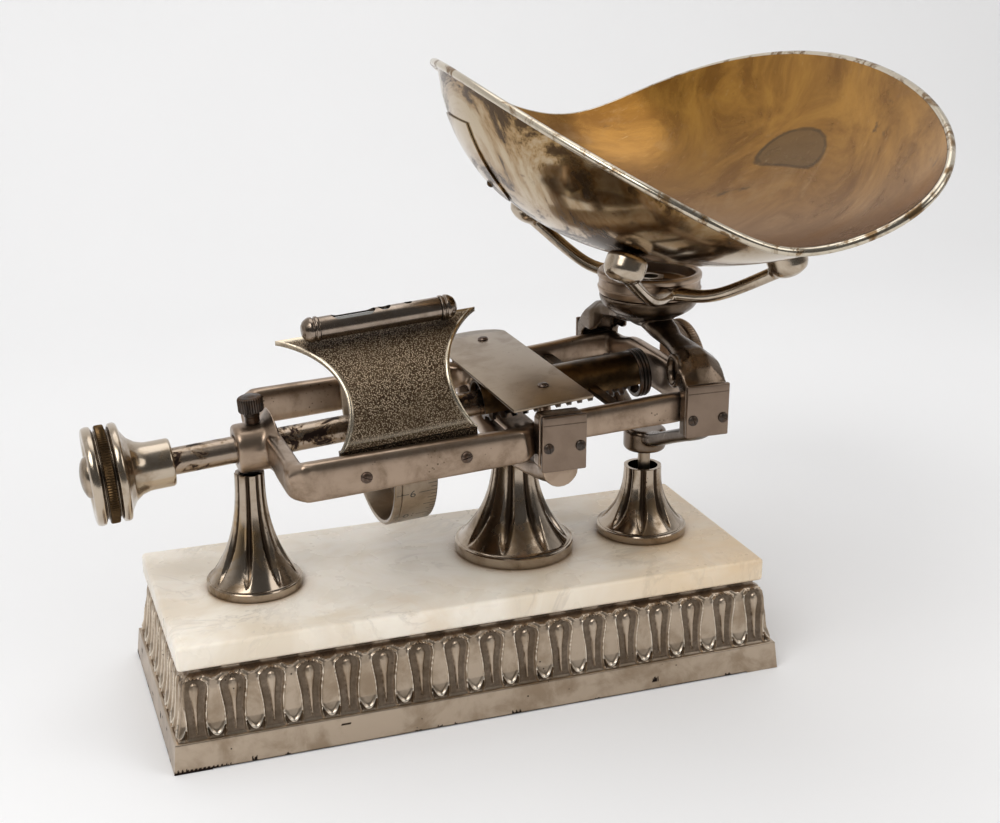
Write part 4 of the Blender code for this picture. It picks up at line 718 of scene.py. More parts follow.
def baseSide(name, halfRun, halfAcross, motifs, turn):
    piece = basePiece
    band = piece["height"] - piece["plinth"]
    rows = int(band / piece["rowStep"])
    dice = random.Random(motifs * 7 + int(turn * 10))
    chips = []  # (place, half width, foot, height) of places where the plate has flaked off
    for _ in range(piece["chips"]):
        low = 0.0 if dice.random() < 0.75 else dice.uniform(3, 11)
        chips.append((dice.uniform(-0.97, 0.97) * halfRun, dice.uniform(0.5, 2.6), low,
                      dice.uniform(0.6, 2.4)))
    chips.append((-0.95 * halfRun, 0.09 * halfRun, 0.0, 1.6))
    levels = [(0.0, 0.35, -1), (0.35, 0.0, -1)]  # (height, inset, v)
    for share in np.linspace(0.06, 0.95, 22):
        levels.append((piece["plinth"] * share, piece["draft"] * share, -1))
    top = piece["plinth"]
    levels += [(top - 0.25, piece["draft"], -1), (top, piece["draft"] + 0.3, -1),
               (top + 0.05, piece["ledge"] - 0.4, -1)]
    for row in range(rows + 1):
        v = row / rows
        inset = piece["ledge"] + (piece["neck"] - piece["ledge"]) * float(mouldingInset(v))
        levels.append((top + band * v, inset, v))
    columns = int(2 * halfRun / piece["columnStep"])
    t = np.linspace(-1, 1, columns + 1)
    reach = halfRun - piece["ledge"]
    points = []
    relief = []
    for z, inset, v in levels:
        x = t * (halfRun - inset)
        y = np.full_like(x, -(halfAcross - inset))
        if v < 0:
            lift = np.zeros_like(x)
            shade = np.full_like(x, 0.6)
            for place, wide, low, tall in chips:
                ragged = 1 + (0.25 * np.sin(x * 2.9 + place) + 0.2 * np.sin(x * 6.1))
                flaked = (np.abs(x - place) < wide * ragged) & (z >= low) & (z < low + tall * ragged)
                shade[flaked] = -1.0
            zs = np.full_like(x, z)
            relieved = (np.abs(x) < halfRun - piece["footLength"]) & (z < 0.4)
            zs[relieved] = max(z, piece["footRelief"] + z * 0.5)
        else:
            lift = carvedHeight(x, np.full_like(x, v), motifs, reach)
            corner = smoothStep(0.0, 2.2, halfRun - inset - np.abs(x))
            common = -0.2 * math.sin(math.pi * min(v / 0.95, 1)) if v < 0.95 else 0.0
            lift = lift * corner + common * (1 - corner)
            # Painted shade and highlight: this value, kept as the relief attribute, darkens the hollows and
            # lightens the raised rims
            shade = np.clip(0.5 + lift * 0.36, 0, 1)
            # Painted shade: the neck band under the slab's overhang is darkened
            if v > 0.9:
                shade = np.minimum(shade, 0.34 if v < 0.97 else 0.12)
            zs = np.full_like(x, z)
            x = x + np.sign(x) * lift * (1 - corner)
        y = y - lift
        points += list(zip(x * mm, y * mm, zs * mm))
        relief += list(shade)
    count = columns + 1
    faces = []
    for row in range(len(levels) - 1):
        for i in range(columns):
            a = row * count + i
            faces.append((a, a + 1, a + count + 1, a + count))
    mesh = bpy.data.meshes.new(name)
    mesh.from_pydata(points, [], faces)
    paintPoints(mesh, "relief", relief)
    mesh.transform(basePlace @ Matrix.Rotation(turn, 4, "Z"))
    return finishedPiece(name, mesh, mouldingNickel, 60)


def makeBase():
    piece = basePiece
    halfLength, halfWidth = piece["length"] / 2, piece["width"] / 2
    longSide = (halfLength, halfWidth, piece["longMotifs"])
    shortSide = (halfWidth, halfLength, piece["shortMotifs"])
    sides = []
    for number, name in enumerate(("baseFront", "baseRight", "baseBack", "baseLeft")):
        sizes = shortSide if number % 2 else longSide
        sides.append(settle(baseSide(name, *sizes, number * quarter), "base", "plated_iron"))
    rings = []
    top = piece["neck"]
    wall, ceiling = piece["wall"], piece["height"] - piece["ceiling"]
    for inset, z in ((top, piece["height"]), (top + 60, piece["height"])):
        rings.append([(sx * (halfLength - inset) * mm, sy * (halfWidth - min(inset, halfWidth - 2)) * mm,
                       z * mm)
                      for sx, sy in ((-1, -1), (1, -1), (1, 1), (-1, 1))])
    deck = meshPiece("baseDeck", rings[0] + rings[1], [(0, 1, 2, 3)], castNickel, basePlace)
    settle(deck, "base", "plated_iron")
    levels = ((0.3, 0.6), (wall, 0.6), (wall, piece["plinth"]), (top + wall, ceiling))
    points = [(sx * (halfLength - inset) * mm, sy * (halfWidth - inset) * mm, z * mm)
              for inset, z in levels for sx, sy in ((-1, -1), (1, -1), (1, 1), (-1, 1))]
    faces = ringFaces(4, 4) + [(12, 13, 14, 15)]
    inside = settle(meshPiece("baseInside", points, faces, castNickel, basePlace), "base", "plated_iron")
    for side in sides + [deck, inside]:
        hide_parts("base_casting")


makeBase()
print("base carved")

# Marble slab with eased edges
slabPiece = dict(size=(321.6, 125.5, 13.0), low=51.1, edge=2.2, shift=-1.0)


def makeSlab():
    piece = slabPiece
    size = tuple(side * mm for side in piece["size"])
    slab = boxSolid("marbleSlab", size, (piece["shift"] * mm, 0, piece["low"] * mm + size[2] / 2), marble,
                    basePlace)
    bevelled(slab, piece["edge"] * mm, 5)
    return settle(slab, "base", "marble", "marble_slab")


makeSlab()

# Fluted pedestals: ribs stand between round-bottomed channels that end in a point above the ring
pedestalLooks = {
    "left": dict(radius=25.1, topRadius=7.78, depth=0.2, channelAt=249.3, open=False),
    "centre": dict(radius=33.0, topRadius=11.88, depth=0.17, channelAt=239.0, open=False),
    "right": dict(radius=25.6, topRadius=10.8, depth=0.17, channelAt=246.6, open=True),
}
pedestalPiece = dict(stand=64.1, flutes=8, channelHalf=0.27, channelRise=0.3, bell=2.6, bore=8.5,
                     boreDepth=18, rows=60)


def flutedFinish():
    # Mirror-like ribs with browned shoulders, rough channels darkened with painted shade, and a golden ring
    finish = Finish("flutedNickel")
    rib = finish.painted("relief")
    fine = finish.noise(420, 5, 0.7)
    cloud = finish.between(finish.noise(42, 6, 0.62, 0.4), 0.42, 0.66)
    color = finish.blend(cloud, (0.42, 0.345, 0.27), (0.20, 0.138, 0.08))
    gold = finish.between(finish.noise(26, 6, 0.66, 0.8), 0.56, 0.66)
    color = finish.blend(gold, color, (0.36, 0.235, 0.11), 0.7)
    # Painted shade: the channels between the ribs are darkened
    hollow = finish.plus(rib, finish.between(fine, 0, 1, -0.15, 0.15))
    hollow = finish.between(hollow, 0.25, 0.7, 1.0, 0.0)
    color = finish.blend(hollow, color, (0.055, 0.037, 0.024))
    # Painted shade: the colour is darkened in corners found by ambient occlusion
    corner = finish.between(finish.grime(6 * mm), 0.3, 0.8, 0.9, 0.0)
    color = finish.blend(corner, color, (0.035, 0.022, 0.014))
    pits = finish.between(finish.cells(380), 0.08, 0.2, 1.0, 0.0)
    pits = finish.times(pits, finish.between(finish.noise(55, 3), 0.55, 0.66))
    color = finish.blend(pits, color, (0.03, 0.018, 0.012))
    finish.bump(finish.times(fine, finish.plus(hollow, 0.12)), 0.12 * mm, 0.6)
    return finish.give(color, finish.between(finish.plus(hollow, cloud), 0, 1.4, 0.14, 0.45), 1.0)


flutedNickel = flutedFinish()


def makePedestal(tag, look, node):
    piece = pedestalPiece
    flutes, channelHalf, rows = piece["flutes"], piece["channelHalf"], piece["rows"]
    radius, topRadius = look["radius"], look["topRadius"]
    middle = middleOf(node)
    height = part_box(node)[1][2] / mm - piece["stand"] - 0.5
    ringHeight = radius * 0.19
    foot = ringHeight * 1.1
    line = [(radius * 0.4, 0), (radius * 0.97, 0), (radius, 0.5), (radius, ringHeight - 0.6),
            (radius * 0.985, ringHeight - 0.1), (radius * 0.955, ringHeight),
            (radius * 0.95, ringHeight + 0.35)]
    start = len(line)
    for row in range(rows + 1):
        share = row / rows
        bell = topRadius + (radius * 0.93 - topRadius) * (1 - share) ** piece["bell"]
        line.append((bell, foot + (height - foot) * share))
    if look["open"]:
        bore = piece["bore"]
        line += [(topRadius * 0.97, height + 0.1), (bore, height), (bore, height - piece["boreDepth"])]
    else:
        line += [(topRadius * 0.93, height + 0.25), (topRadius * 0.5, height + 0.3), (0, height + 0.3)]
    steps = flutes * 26
    points = []
    ribs = []
    turn = math.radians(look["channelAt"])
    for number, (r, z) in enumerate(line):
        share = (z - foot) / (height - foot)
        width = 0.0
        if start <= number <= start + rows:
            width = channelHalf * min(1.0, max(share - 0.02, 0) / piece["channelRise"]) ** 0.6
        for i in range(steps):
            angle = math.tau * i / steps
            phase = (flutes * (angle - turn) / math.tau) % 1.0
            off = min(phase, 1 - phase)
            dent = 0.0
            if off < width:
                dent = math.cos(off / width * quarter) ** 1.3 * min(1, width / channelHalf)
            reach = r * (1 - dent * look["depth"])
            points.append((reach * math.cos(angle) * mm, reach * math.sin(angle) * mm, z * mm))
            ribs.append(1 - dent)
    mesh = bpy.data.meshes.new(tag + "Pedestal")
    mesh.from_pydata(points, [], ringFaces(len(line), steps))
    # The relief attribute marks the channels that the finish darkens with painted shade
    paintPoints(mesh, "relief", ribs)
    mesh.transform(Matrix.Translation((middle.x, middle.y, piece["stand"] * mm + 0.0002)))
    pedestal = finishedPiece(tag + "Pedestal", mesh, flutedNickel, 32)
    settle(pedestal, "base", "plated_iron", node)


for tag, look in pedestalLooks.items():
    makePedestal(tag, look, tag + "_pedestal")
print("slab and pedestals made")

# Slotted screws, domed and dark
screwPiece = dict(radius=2.7, height=1.25, slot=0.62, slotDepth=0.75)


def makeScrew(name, place, body, node, material=None, scale=1.0):
    piece = screwPiece
    r, h = piece["radius"] * scale * mm, piece["height"] * scale * mm
    steps = 40
    rows = [(0.0, 1.0), (0.3, 0.97), (0.55, 0.88), (0.78, 0.7), (0.93, 0.45), (1.0, 0.15), (1.0, -0.1)]
    profile = [(share * r, rise * h) for share, rise in rows] + [(0.5 * r, -0.1 * h), (0.5 * r, -2.2 * h),
                                                                 (0, -2.2 * h)]
    head = turnedPiece(name, profile, material or screwSteel, None, steps, radius=0)
    slot = boxSolid("slot", (2.6 * r, piece["slot"] * scale * mm, 2 * piece["slotDepth"] * scale * mm),
                    (0, 0, h))
    combine(head, slot)
    turn = (sum(ord(letter) for letter in node) * 37) % 180
    head.data.transform(place @ Matrix.Rotation(math.radians(turn), 4, "Z"))
    smoothed(head.data, 35)
    settle(head, body, "plated_steel", node)


def outwardPlace(point, direction):
    turn = Vector((0, 0, 1)).rotation_difference(Vector(direction)).to_matrix().to_4x4()
    return Matrix.Translation(point) @ turn


def makeCoverScrews():
    for owner, body in (("fulcrum", "base"), ("load", "load")):
        for tag, side in (("front", -1), ("rear", 1)):
            for number in (1, 2):
                node = f"{owner}_{tag}_cover_screw_{number}"
                low, high = cornersOf(node)
                middle = (low + high) / 2
                middle.y = (low.y if side < 0 else high.y) - side * 1.25 * mm
                makeScrew(node.replace("_", ""), outwardPlace(middle, (0, side, 0)), body, node, darkSteel)
    for number in (1, 2):
        node = f"shield_screw_{number}"
        middle = middleOf(node)
        middle.y = cornersOf(node)[0].y + 1.25 * mm
        makeScrew(f"shieldScrew{number}", outwardPlace(middle, (0, -1, 0)), "beam", node, screwSteel, 1.1)
        node = f"top_plate_screw_{number}"
        low, high = cornersOf(node)
        up = Vector((-math.sin(beamTilt), 0, math.cos(beamTilt)))
        middle = Vector(((low.x + high.x) / 2, (low.y + high.y) / 2, high.z)) - up * 1.4 * mm
        makeScrew(f"topPlateScrew{number}", outwardPlace(middle, up), "beam", node, screwSteel, 1.1)


makeCoverScrews()

# Fulcrum yoke: hub on the pedestal, arms out to a round-footed cheek on either side
yokePiece = dict(middle=64.55, thick=7.8, top=14.4, lobe=15.6, lobeHalf=9.6, half=12.0, hub=11.88,
                 foot=119.4, voxel=0.75)


def cheekOutline(half, top, lobe, lobeHalf):
    outline = arcPoints((0, -lobe), lobeHalf, 180, 360, 28)
    outline += [(half, -lobe * 0.8), (half, top * 0.86), (half * 0.9, top), (-half * 0.9, top),
                (-half, top * 0.86), (-half, -lobe * 0.8)]
    return [(x * mm, y * mm) for x, y in outline]


def makeFulcrumYoke():
    piece = yokePiece
    middle = piece["middle"]
    low = piece["foot"] - beamPoint.z / mm
    rise = -piece["lobe"] - low
    stations = []
    for y, z, across, tall in ((-1, 0.96, 0.78, 0.52), (-0.86, 0.7, 0.76, 0.4), (-0.6, 0.46, 0.8, 0.34),
                               (-0.3, 0.36, 0.95, 0.36), (0, 0.34, 1.02, 0.38), (0.3, 0.36, 0.95, 0.36),
                               (0.6, 0.46, 0.8, 0.34), (0.86, 0.7, 0.76, 0.4), (1, 0.96, 0.78, 0.52)):
        stations.append((0, middle * y, low + rise * z, piece["hub"] * across, rise * tall))
    arms = barAlong("fulcrumYoke", [tuple(v * mm for v in row) for row in stations], flatten=(1, 0, 0),
                    power=2.6, count=24)
    solids = [arms]
    for side in (-1, 1):
        place = Matrix.Translation((0, side * middle * mm, 0)) @ upright
        half = piece["thick"] / 2 * mm
        outline = cheekOutline(piece["half"], piece["top"], piece["lobe"], piece["lobeHalf"])
        solids.append(plateSolid("cheek", outline, -half, half, None, place))
    hub = shaftLine([(0, 0), (piece["hub"], 0), (piece["hub"], 6), (0, 9)])
    solids.append(turnedPiece("hub", hub, None, Matrix.Translation((0, 0, low * mm)), 48))
    cutters = [boxSolid("window", (13 * mm, 12 * mm, 20 * mm), (0, side * middle * mm, 1.2 * mm))
               for side in (-1, 1)]
    yoke = castPiece("fulcrumYoke", solids, piece["voxel"] * mm, 5, castNickel, cutters)
    yoke.data.transform(Matrix.Translation(beamPoint))
    settle(yoke, "base", "plated_iron", "fulcrum_yoke")


makeFulcrumYoke()

# Covers over the bearings, each with a lip below its top edge
coverPiece = dict(edge=0.8, lipPlace=0.15, lipDepth=0.5, lipHeight=0.55)


def makeCover(name, node, body, side):
    piece = coverPiece
    low, high = cornersOf(node)
    size = high - low
    cover = boxSolid(name, tuple(size), (low + high) / 2, coverNickel)
    bevelled(cover, piece["edge"] * mm, 4)
    groove = boxSolid("groove", (size.x * 1.1, piece["lipDepth"] * mm, piece["lipHeight"] * mm),
                      ((low.x + high.x) / 2, (low.y if side < 0 else high.y),
                       high.z - size.z * piece["lipPlace"]))
    combine(cover, groove)
    smoothed(cover.data, 30)
    settle(cover, body, "plated_steel", node)


for owner, body in (("fulcrum", "base"), ("load", "load")):
    for tag, side in (("front", -1), ("rear", 1)):
        makeCover(f"{owner}Cover{tag.capitalize()}", f"{owner}_cover_{tag}", body, side)
print("fulcrum made")

# Beam frame: two arms, a rounded fork end with its boss, a web and a crosshead
beamPiece = dict(span=63.0, spanFulcrum=56.8, spanLoad=60.75, width=9.0, heightLeft=20.2, dropLeft=0.5,
                 bossOuter=153.3, bossInner=131.2, bossRadius=12.5, rise=shaftRise, bore=7.35,
                 postRadius=3.4, postTop=17.6, forkLeft=139.0, forkRight=130.3, forkCorner=15.0, voxel=0.85)


def armStations(side):
    piece = beamPiece
    left = -piece["bossInner"] - 5
    stations = [
        (left - 1.5, 54.0, 0.5, 5.0, 14.0),
        (left + 1.0, 58.5, 0.5, 8.0, 17.6),
        (left + 5.5, 62.0, 0.5, 9.4, 19.8),
        (left + 12, 63.0, 0.6, 9.2, 20.4),
        (left * 0.5, 63.0, 2.0, 9.0, 19.5),
        (-25, 63.0, 3.3, 9.0, 18.6),
        (-18.5, 62.2, 3.2, 9.0, 17.4),
        (-14.6, 59.4, 2.6, 8.6, 15.6),
        (-11.0, 57.2, 1.9, 8.0, 13.0),
        (0, 56.8, 1.3, 8.0, 12.8),
        (8, 56.8, 1.0, 8.0, 13.8),
        (14.9, 57.1, 0.7, 8.0, 15.2),
        (47.4, 58.9, 0.7, 8.0, 15.6),
        (62, 60.0, 0.7, 8.0, 16.2),
        (70, 60.6, 0.7, 8.0, 15.6),
        (79, 60.75, 0.6, 8.0, 14.9),
        (85, 60.75, 0.6, 8.0, 14.2),
        (88.4, 60.75, 0.6, 6.4, 12.4),
    ]
    rows = []
    for x, span, drop, width, height in stations:
        rows.append((x * mm, side * span * mm, (piece["rise"] - drop) * mm, width / 2 * mm, height / 2 * mm))
    return rows


def forkEnd(piece):
    # End bar of the fork: as deep as the arms at its sides and shallower by the boss
    half = piece["span"] + piece["width"] / 2
    corner = piece["forkCorner"]
    left, right = -piece["forkLeft"], -piece["forkRight"]
    sideHalf = piece["heightLeft"] * 0.47
    rings = []
    for y in np.concatenate([np.linspace(-half, -half + corner, 9), np.linspace(-44, 44, 17),
                             np.linspace(half - corner, half, 9)]):
        past = max(abs(y) - half + corner, 0)
        start = left + corner - math.sqrt(max(corner * corner - past * past, 0))
        depth = float(smoothStep(14, 34, abs(y)))
        tall = 8.6 + (sideHalf - 8.6) * depth - 1.2 * max(past / corner, 0) ** 3
        z = piece["rise"] - piece["dropLeft"] * depth
        across = max((right - start) / 2, 0.4)
        rings.append([((start + right) / 2 * mm + a * mm, y * mm, (z + t) * mm)
                      for a, t in roundedSection(across, tall, 5, 32)])
    return lofted("fork", rings)


def makeBeamFrame():
    piece = beamPiece
    rise = piece["rise"] * mm
    solids = [barAlong("arm", armStations(side), flatten=(0, 1, 0), power=3.4, count=32, spans=4)
              for side in (-1, 1)]
    web = []
    for share, z, tall in ((-1, -3.2, 5.8), (-0.87, -7.8, 5.0), (-0.7, -12.4, 2.2), (-0.3, -12.4, 1.9),
                           (0.3, -12.4, 1.9), (0.7, -12.4, 2.2), (0.87, -7.8, 5.0), (1, -3.2, 5.8)):
        web.append((0, piece["spanFulcrum"] * share * mm, z * mm, 9 * mm, tall * mm))
    solids.append(barAlong("web", web, flatten=(1, 0, 0), power=3, count=20, spans=3))
    head = []
    for share, tall in ((-1, 5.8), (-0.8, 6.4), (-0.62, 8.6), (-0.45, 11.0), (0, 11.2), (0.45, 11.0),
                        (0.62, 8.6), (0.8, 6.4), (1, 5.8)):
        head.append((84.75 * mm, piece["spanLoad"] * share * mm, rise, 4.25 * mm, tall * mm))
    solids.append(barAlong("crosshead", head, flatten=(1, 0, 0), power=4, count=24, spans=3))
    solids.append(forkEnd(piece))
    boss = []
    radius = piece["bossRadius"]
    for x, r in ((-piece["bossOuter"], 11.2), (-152.7, 12.1), (-151.2, radius), (-142, radius), (-136, 12.6),
                 (-piece["bossInner"], 12.4)):
        boss.append([(x * mm, y * mm, rise + z * mm) for y, z in roundedSection(r, r, 2.5, 48)])
    solids.append(lofted("boss", boss))
    flare = turnedPiece("flare", [(0, -146), (12.4, -146), (13.2, -141.5), (15.8, -137.5), (21, -134.6),
                                  (24, -133), (0, -133)], None,
                        alongX, 48, radius=0)
    flare.data.transform(Matrix.Scale(mm, 4))
    flare.data.transform(Matrix.Translation((0, 0, rise)) @ Matrix.Scale(0.78, 4, (0, 0, 1)))
    solids.append(flare)
    for y, low in ((-38.0, -12.0), (56.8, 6.0)):
        line = [(0, low), (piece["postRadius"], low), (piece["postRadius"], piece["postTop"]),
                (0, piece["postTop"])]
        post = turnedPiece("post", shaftLine(line), None,
                           Matrix.Translation((3.3 * mm, y * mm, 0)), 24)
        solids.append(post)
    line = [(0, -170), (piece["bore"], -170), (piece["bore"], -120), (0, -120)]
    bore = turnedPiece("bore", shaftLine(line), None,
                       Matrix.Translation((0, 0, rise)) @ alongX, 48, radius=0)
    beam = castPiece("beamFrame", solids, piece["voxel"] * mm, 6, castNickel, [bore])
    beam.data.transform(beamPlace)
    settle(beam, "beam", "plated_iron", "beam_frame")


makeBeamFrame()
print("beam cast")

# Knives and bearings keep their solids and get dark steel
for node in nodes:
    if "knife" in node or "bearing" in node:
        dressSolid(node, darkSteel)
for node in ("left_pedestal_nut", "centre_pedestal_nut", "right_pedestal_nut", "check_bracket", "spider_nut",
             "check_rod"):
    dressSolid(node, satinNickel)
dressSolid("check_link", darkSteel)

# Knob: two polished rims with a knurled band between them, a coved hub and a domed cap
knobPiece = dict(radius=25.2, end=227.5, length=18.1, hubEnd=185.4, hub=12.4, bore=7.3, dome=11.0,
                 domeRise=4.6, knurls=110, knurlDepth=0.32, rod=7.0, rodStart=7.5, rodEnd=225.3)


def makeKnob():
    piece = knobPiece
    end, right = -piece["end"], -piece["end"] + piece["length"]
    hubEnd = -piece["hubEnd"]
    hub, rim, bore = piece["hub"], piece["radius"], piece["bore"]
    profile = [(bore, hubEnd), (hub * 0.94, hubEnd), (hub, hubEnd - 1.2), (hub, hubEnd - 10.5),
               (hub * 1.01, hubEnd - 13), (hub * 1.1, hubEnd - 17), (hub * 1.32, right + 3.2),
               (hub * 1.62, right + 0.9), (22.4, right), (24.4, right - 0.4), (rim, right - 1.8),
               (25.0, right - 4.2), (23.6, right - 5.0), (22.4, right - 5.3), (22.3, right - 5.9),
               (23.4, right - 6.2), (23.4, right - 11.4), (22.3, right - 11.8), (22.4, right - 12.4),
               (23.6, right - 12.8), (25.0, right - 13.4), (rim, right - 15.6), (24.5, end + 0.5),
               (22.8, end), (18.5, end + 0.1), (16.4, end + 1.3), (14.5, end + 2.2), (bore, end + 2.2)]
    knob = turnedPiece("knobWheel", shaftLine(profile), brightNickel, shaftPlace, 128, True, 0.7 * mm)
    settle(knob, "poise", "plated_brass", "knob_wheel")
    count = piece["knurls"]

    def knurl(r, z, angle):
        return r + piece["knurlDepth"] * mm * math.cos(count * angle) if r > 23.8 * mm else r

    band = [(23.0, right - 6.3), (24.3, right - 6.5), (24.7, right - 7.0), (24.8, right - 8.8),
            (24.7, right - 10.6), (24.3, right - 11.1), (23.0, right - 11.3)]
    ring = turnedPiece("knobKnurls", shaftLine(band), brassFinish, shaftPlace, count * 5, radius=0,
                       relief=knurl, sharp=60)
    settle(ring, "poise", "plated_brass")
    dome = [(0, end - 4.0)]
    for share in np.linspace(0.12, 1, 12):
        rise = piece["domeRise"] * math.sqrt(max(1 - share ** 2, 0))
        dome.append((piece["dome"] * share, end + 0.6 - rise))
    dome += [(piece["dome"], end + 2.0), (0, end + 2.0)]
    cap = turnedPiece("knobCap", shaftLine(dome), agedNickel, shaftPlace, 72, radius=0)
    settle(cap, "poise", "plated_brass", "knob_cap")
    start, stop = -piece["rodStart"], -piece["rodEnd"]
    spindle = [(0, start), (piece["rod"], start), (piece["rod"], stop), (0, stop)]
    rod = turnedPiece("poiseSpindle", shaftLine(spindle), rodNickel, shaftPlace, 64)
    settle(rod, "poise_rod", "plated_steel", "poise_spindle")


makeKnob()
print("knob turned")

# Drum: graduated in eighths of an ounce with a number at every ounce
drumPiece = dict(radius=54.0, middle=-72.5, width=23.0, wall=2.6, groove=4.0, ounces=16, numberSize=7.0,
                 numberAt=9.6, zeroTurn=1.63, bore=7.3, marksPerOunce=8, markWidth=0.42,
                 markLengths={8: 9.5, 4: 6.6, 2: 4.8, 1: 3.2})


def engravedFinish():
    finish = Finish("engraving")
    color = finish.blend(finish.between(finish.noise(300, 3), 0.3, 0.7), (0.02, 0.017, 0.014),
                         (0.05, 0.04, 0.032))
    return finish.give(color, 0.55, 0.0)


engraving = engravedFinish()


def drumMark(points, faces, startX, endX, angle, width, radius):
    # Thin curved strip lying on the drum's rim
    half = width / radius / 2
    first = len(points)
    for z in (startX, endX):
        for share in (-1, 1):
            a = angle + half * share
            points.append((radius * math.cos(a) * mm, radius * math.sin(a) * mm, z * mm))
    faces.append((first, first + 1, first + 3, first + 2))


def makeDrum():
    piece = drumPiece
    radius = piece["radius"]
    left = piece["middle"] - piece["width"] / 2
    right = left + piece["width"]
    wall = piece["wall"]
    groove = left + piece["groove"]
    bore = piece["bore"]
    profile = [(bore, right - 1.5), (11.6, right - 1.5), (12.2, right - 5), (17, right - 6.5),
               (radius - wall - 3, right - 5.5), (radius - wall, right - 4), (radius - wall, right - 0.6),
               (radius - 0.8, right), (radius, right - 0.8), (radius, groove + 0.45), (radius - 0.7, groove),
               (radius, groove - 0.45), (radius, left + 0.8), (radius - 0.8, left),
               (radius - wall, left + 0.4), (radius - wall - 0.6, right - 7.5), (16.5, right - 8.2),
               (11.8, right - 9.5), (11.4, left + 7), (bore, left + 7)]
    drum = turnedPiece("ounceDrum", shaftLine(profile), satinNickel, shaftPlace, 160, True, 0.35 * mm)
    settle(drum, "poise", "plated_brass", "ounce_drum")
    points, faces = [], []
    surface = radius + 0.03
    marks = piece["ounces"] * piece["marksPerOunce"]
    width = piece["markWidth"]
    for number in range(marks):
        angle = math.tau * number / marks + piece["zeroTurn"]
        length = next(size for step, size in piece["markLengths"].items() if number % step == 0)
        drumMark(points, faces, right - 0.6 - length, right - 0.6, angle, width, surface)
        if number % piece["marksPerOunce"] == 0:
            drumMark(points, faces, left + 0.8, groove + 3.4, angle, width, surface)
    marksPiece = meshPiece("drumMarks", points, faces, engraving, shaftPlace)
    settle(marksPiece, "poise", "plated_brass")
    points, faces = [], []
    for ounce in range(piece["ounces"]):
        curve = bpy.data.curves.new("number", "FONT")
        curve.body = str(ounce)
        curve.size = piece["numberSize"] * mm
        curve.align_x = "CENTER"
        curve.align_y = "CENTER"
        curve.resolution_u = 3
        text = bpy.data.objects.new("number", curve)
        scene.collection.objects.link(text)
        mesh = bpy.data.meshes.new_from_object(text.evaluated_get(bpy.context.evaluated_depsgraph_get()))
        bpy.data.objects.remove(text)
        first = len(points)
        base = math.tau * ounce / piece["ounces"] + piece["zeroTurn"]
        for vertex in mesh.vertices:
            # Upright for a reader behind the beam, so upside down from the front
            z = (left + piece["numberAt"]) * mm - vertex.co.x
            angle = base + vertex.co.y / (surface * mm)
            points.append((surface * mm * math.cos(angle), surface * mm * math.sin(angle), z))
        faces += [tuple(first + v for v in polygon.vertices) for polygon in mesh.polygons]
    numbers = meshPiece("drumNumbers", points, faces, engraving, shaftPlace)
    settle(numbers, "poise", "plated_brass")


makeDrum()

# Four-start lead screw with flat-topped ridges
screwLine = dict(start=-18.0, end=65.5, crest=10.8, depth=1.8, starts=4, lead=25.4)


def makeLeadScrew():
    piece = screwLine
    steps = 96
    rows = 190
    rings = []
    for row in range(rows + 1):
        z = piece["start"] + (piece["end"] - piece["start"]) * row / rows
        ease = min(1.0, (row + 1) / 5, (rows - row + 1) / 5)
        ring = []
        for i in range(steps):
            angle = math.tau * i / steps
            phase = (piece["starts"] * (angle / math.tau - z / piece["lead"])) % 1.0
            off = abs(phase - 0.5) * 2
            ridge = min(1, max(0, (off - 0.38) / 0.2))
            ridge = ridge * ridge * (3 - 2 * ridge)
            reach = (piece["crest"] - 1 + ease - piece["depth"] * 1.15 * (1 - ridge)) * mm
            ring.append((reach * math.cos(angle), reach * math.sin(angle), z * mm))
        rings.append(ring)
    screw = lofted("leadScrew", rings, darkSteel, shaftPlace, sharp=45)
    settle(screw, "poise", "dark_steel", "lead_screw")


makeLeadScrew()

# Brass trough over the screw with its lugs, and the ribbed end nut
troughPiece = dict(inner=11.52, wall=1.35, start=-21.0, end=69.5, nut=6.5, lugReach=53.7, lugStart=12.2,
                   lugAt=41.1, lugWidth=5.4, lugThick=2.7)


def makeTrough():
    piece = troughPiece
    inner, outer = piece["inner"], piece["inner"] + piece["wall"]
    rings = []
    for x in np.linspace(piece["start"], piece["end"], 14):
        ring = [(x * mm, y * mm, (shaftRise + z) * mm) for y, z in arcPoints((0, 0), outer, -12, 192, 48)]
        ring += [(x * mm, y * mm, (shaftRise + z) * mm) for y, z in arcPoints((0, 0), inner, 192, -12, 48)]
        rings.append(ring)
    trough = lofted("poiseTrough", rings, brassFinish)
    reach, begin = piece["lugReach"], piece["lugStart"]
    for side in (-1, 1):
        size = (piece["lugWidth"] * mm, (reach - begin) * mm, piece["lugThick"] * mm)
        lug = boxSolid("lug", size, (piece["lugAt"] * mm, side * (reach + begin) / 2 * mm, 3.0 * mm))
        combine(trough, lug, "UNION")
    bevelled(trough, 0.3 * mm, 2, 50)
    trough.data.transform(beamPlace)
    settle(trough, "beam", "bare_brass", "poise_trough")
    start = piece["end"] + 0.3
    ribs = [(11.1, start), (13.1, start)]
    for number in range(3):
        z = start + 0.5 + number * 2.0
        ribs += [(13.5, z + 0.3), (13.5, z + 1.1), (12.3, z + 1.3), (12.3, z + 1.7)]
    ribs += [(13.1, start + piece["nut"]), (11.1, start + piece["nut"])]
    nut = turnedPiece("poiseNut", shaftLine(ribs), darkSteel, shaftPlace, 80, True, 0.25 * mm)
    settle(nut, "beam", "bare_brass", "poise_nut")


makeTrough()
print("poise made")

# Knurled clamp screw on the boss
clampPiece = dict(head=6.4, height=7.6, neck=5.6, boss=12.5, knurls=30)


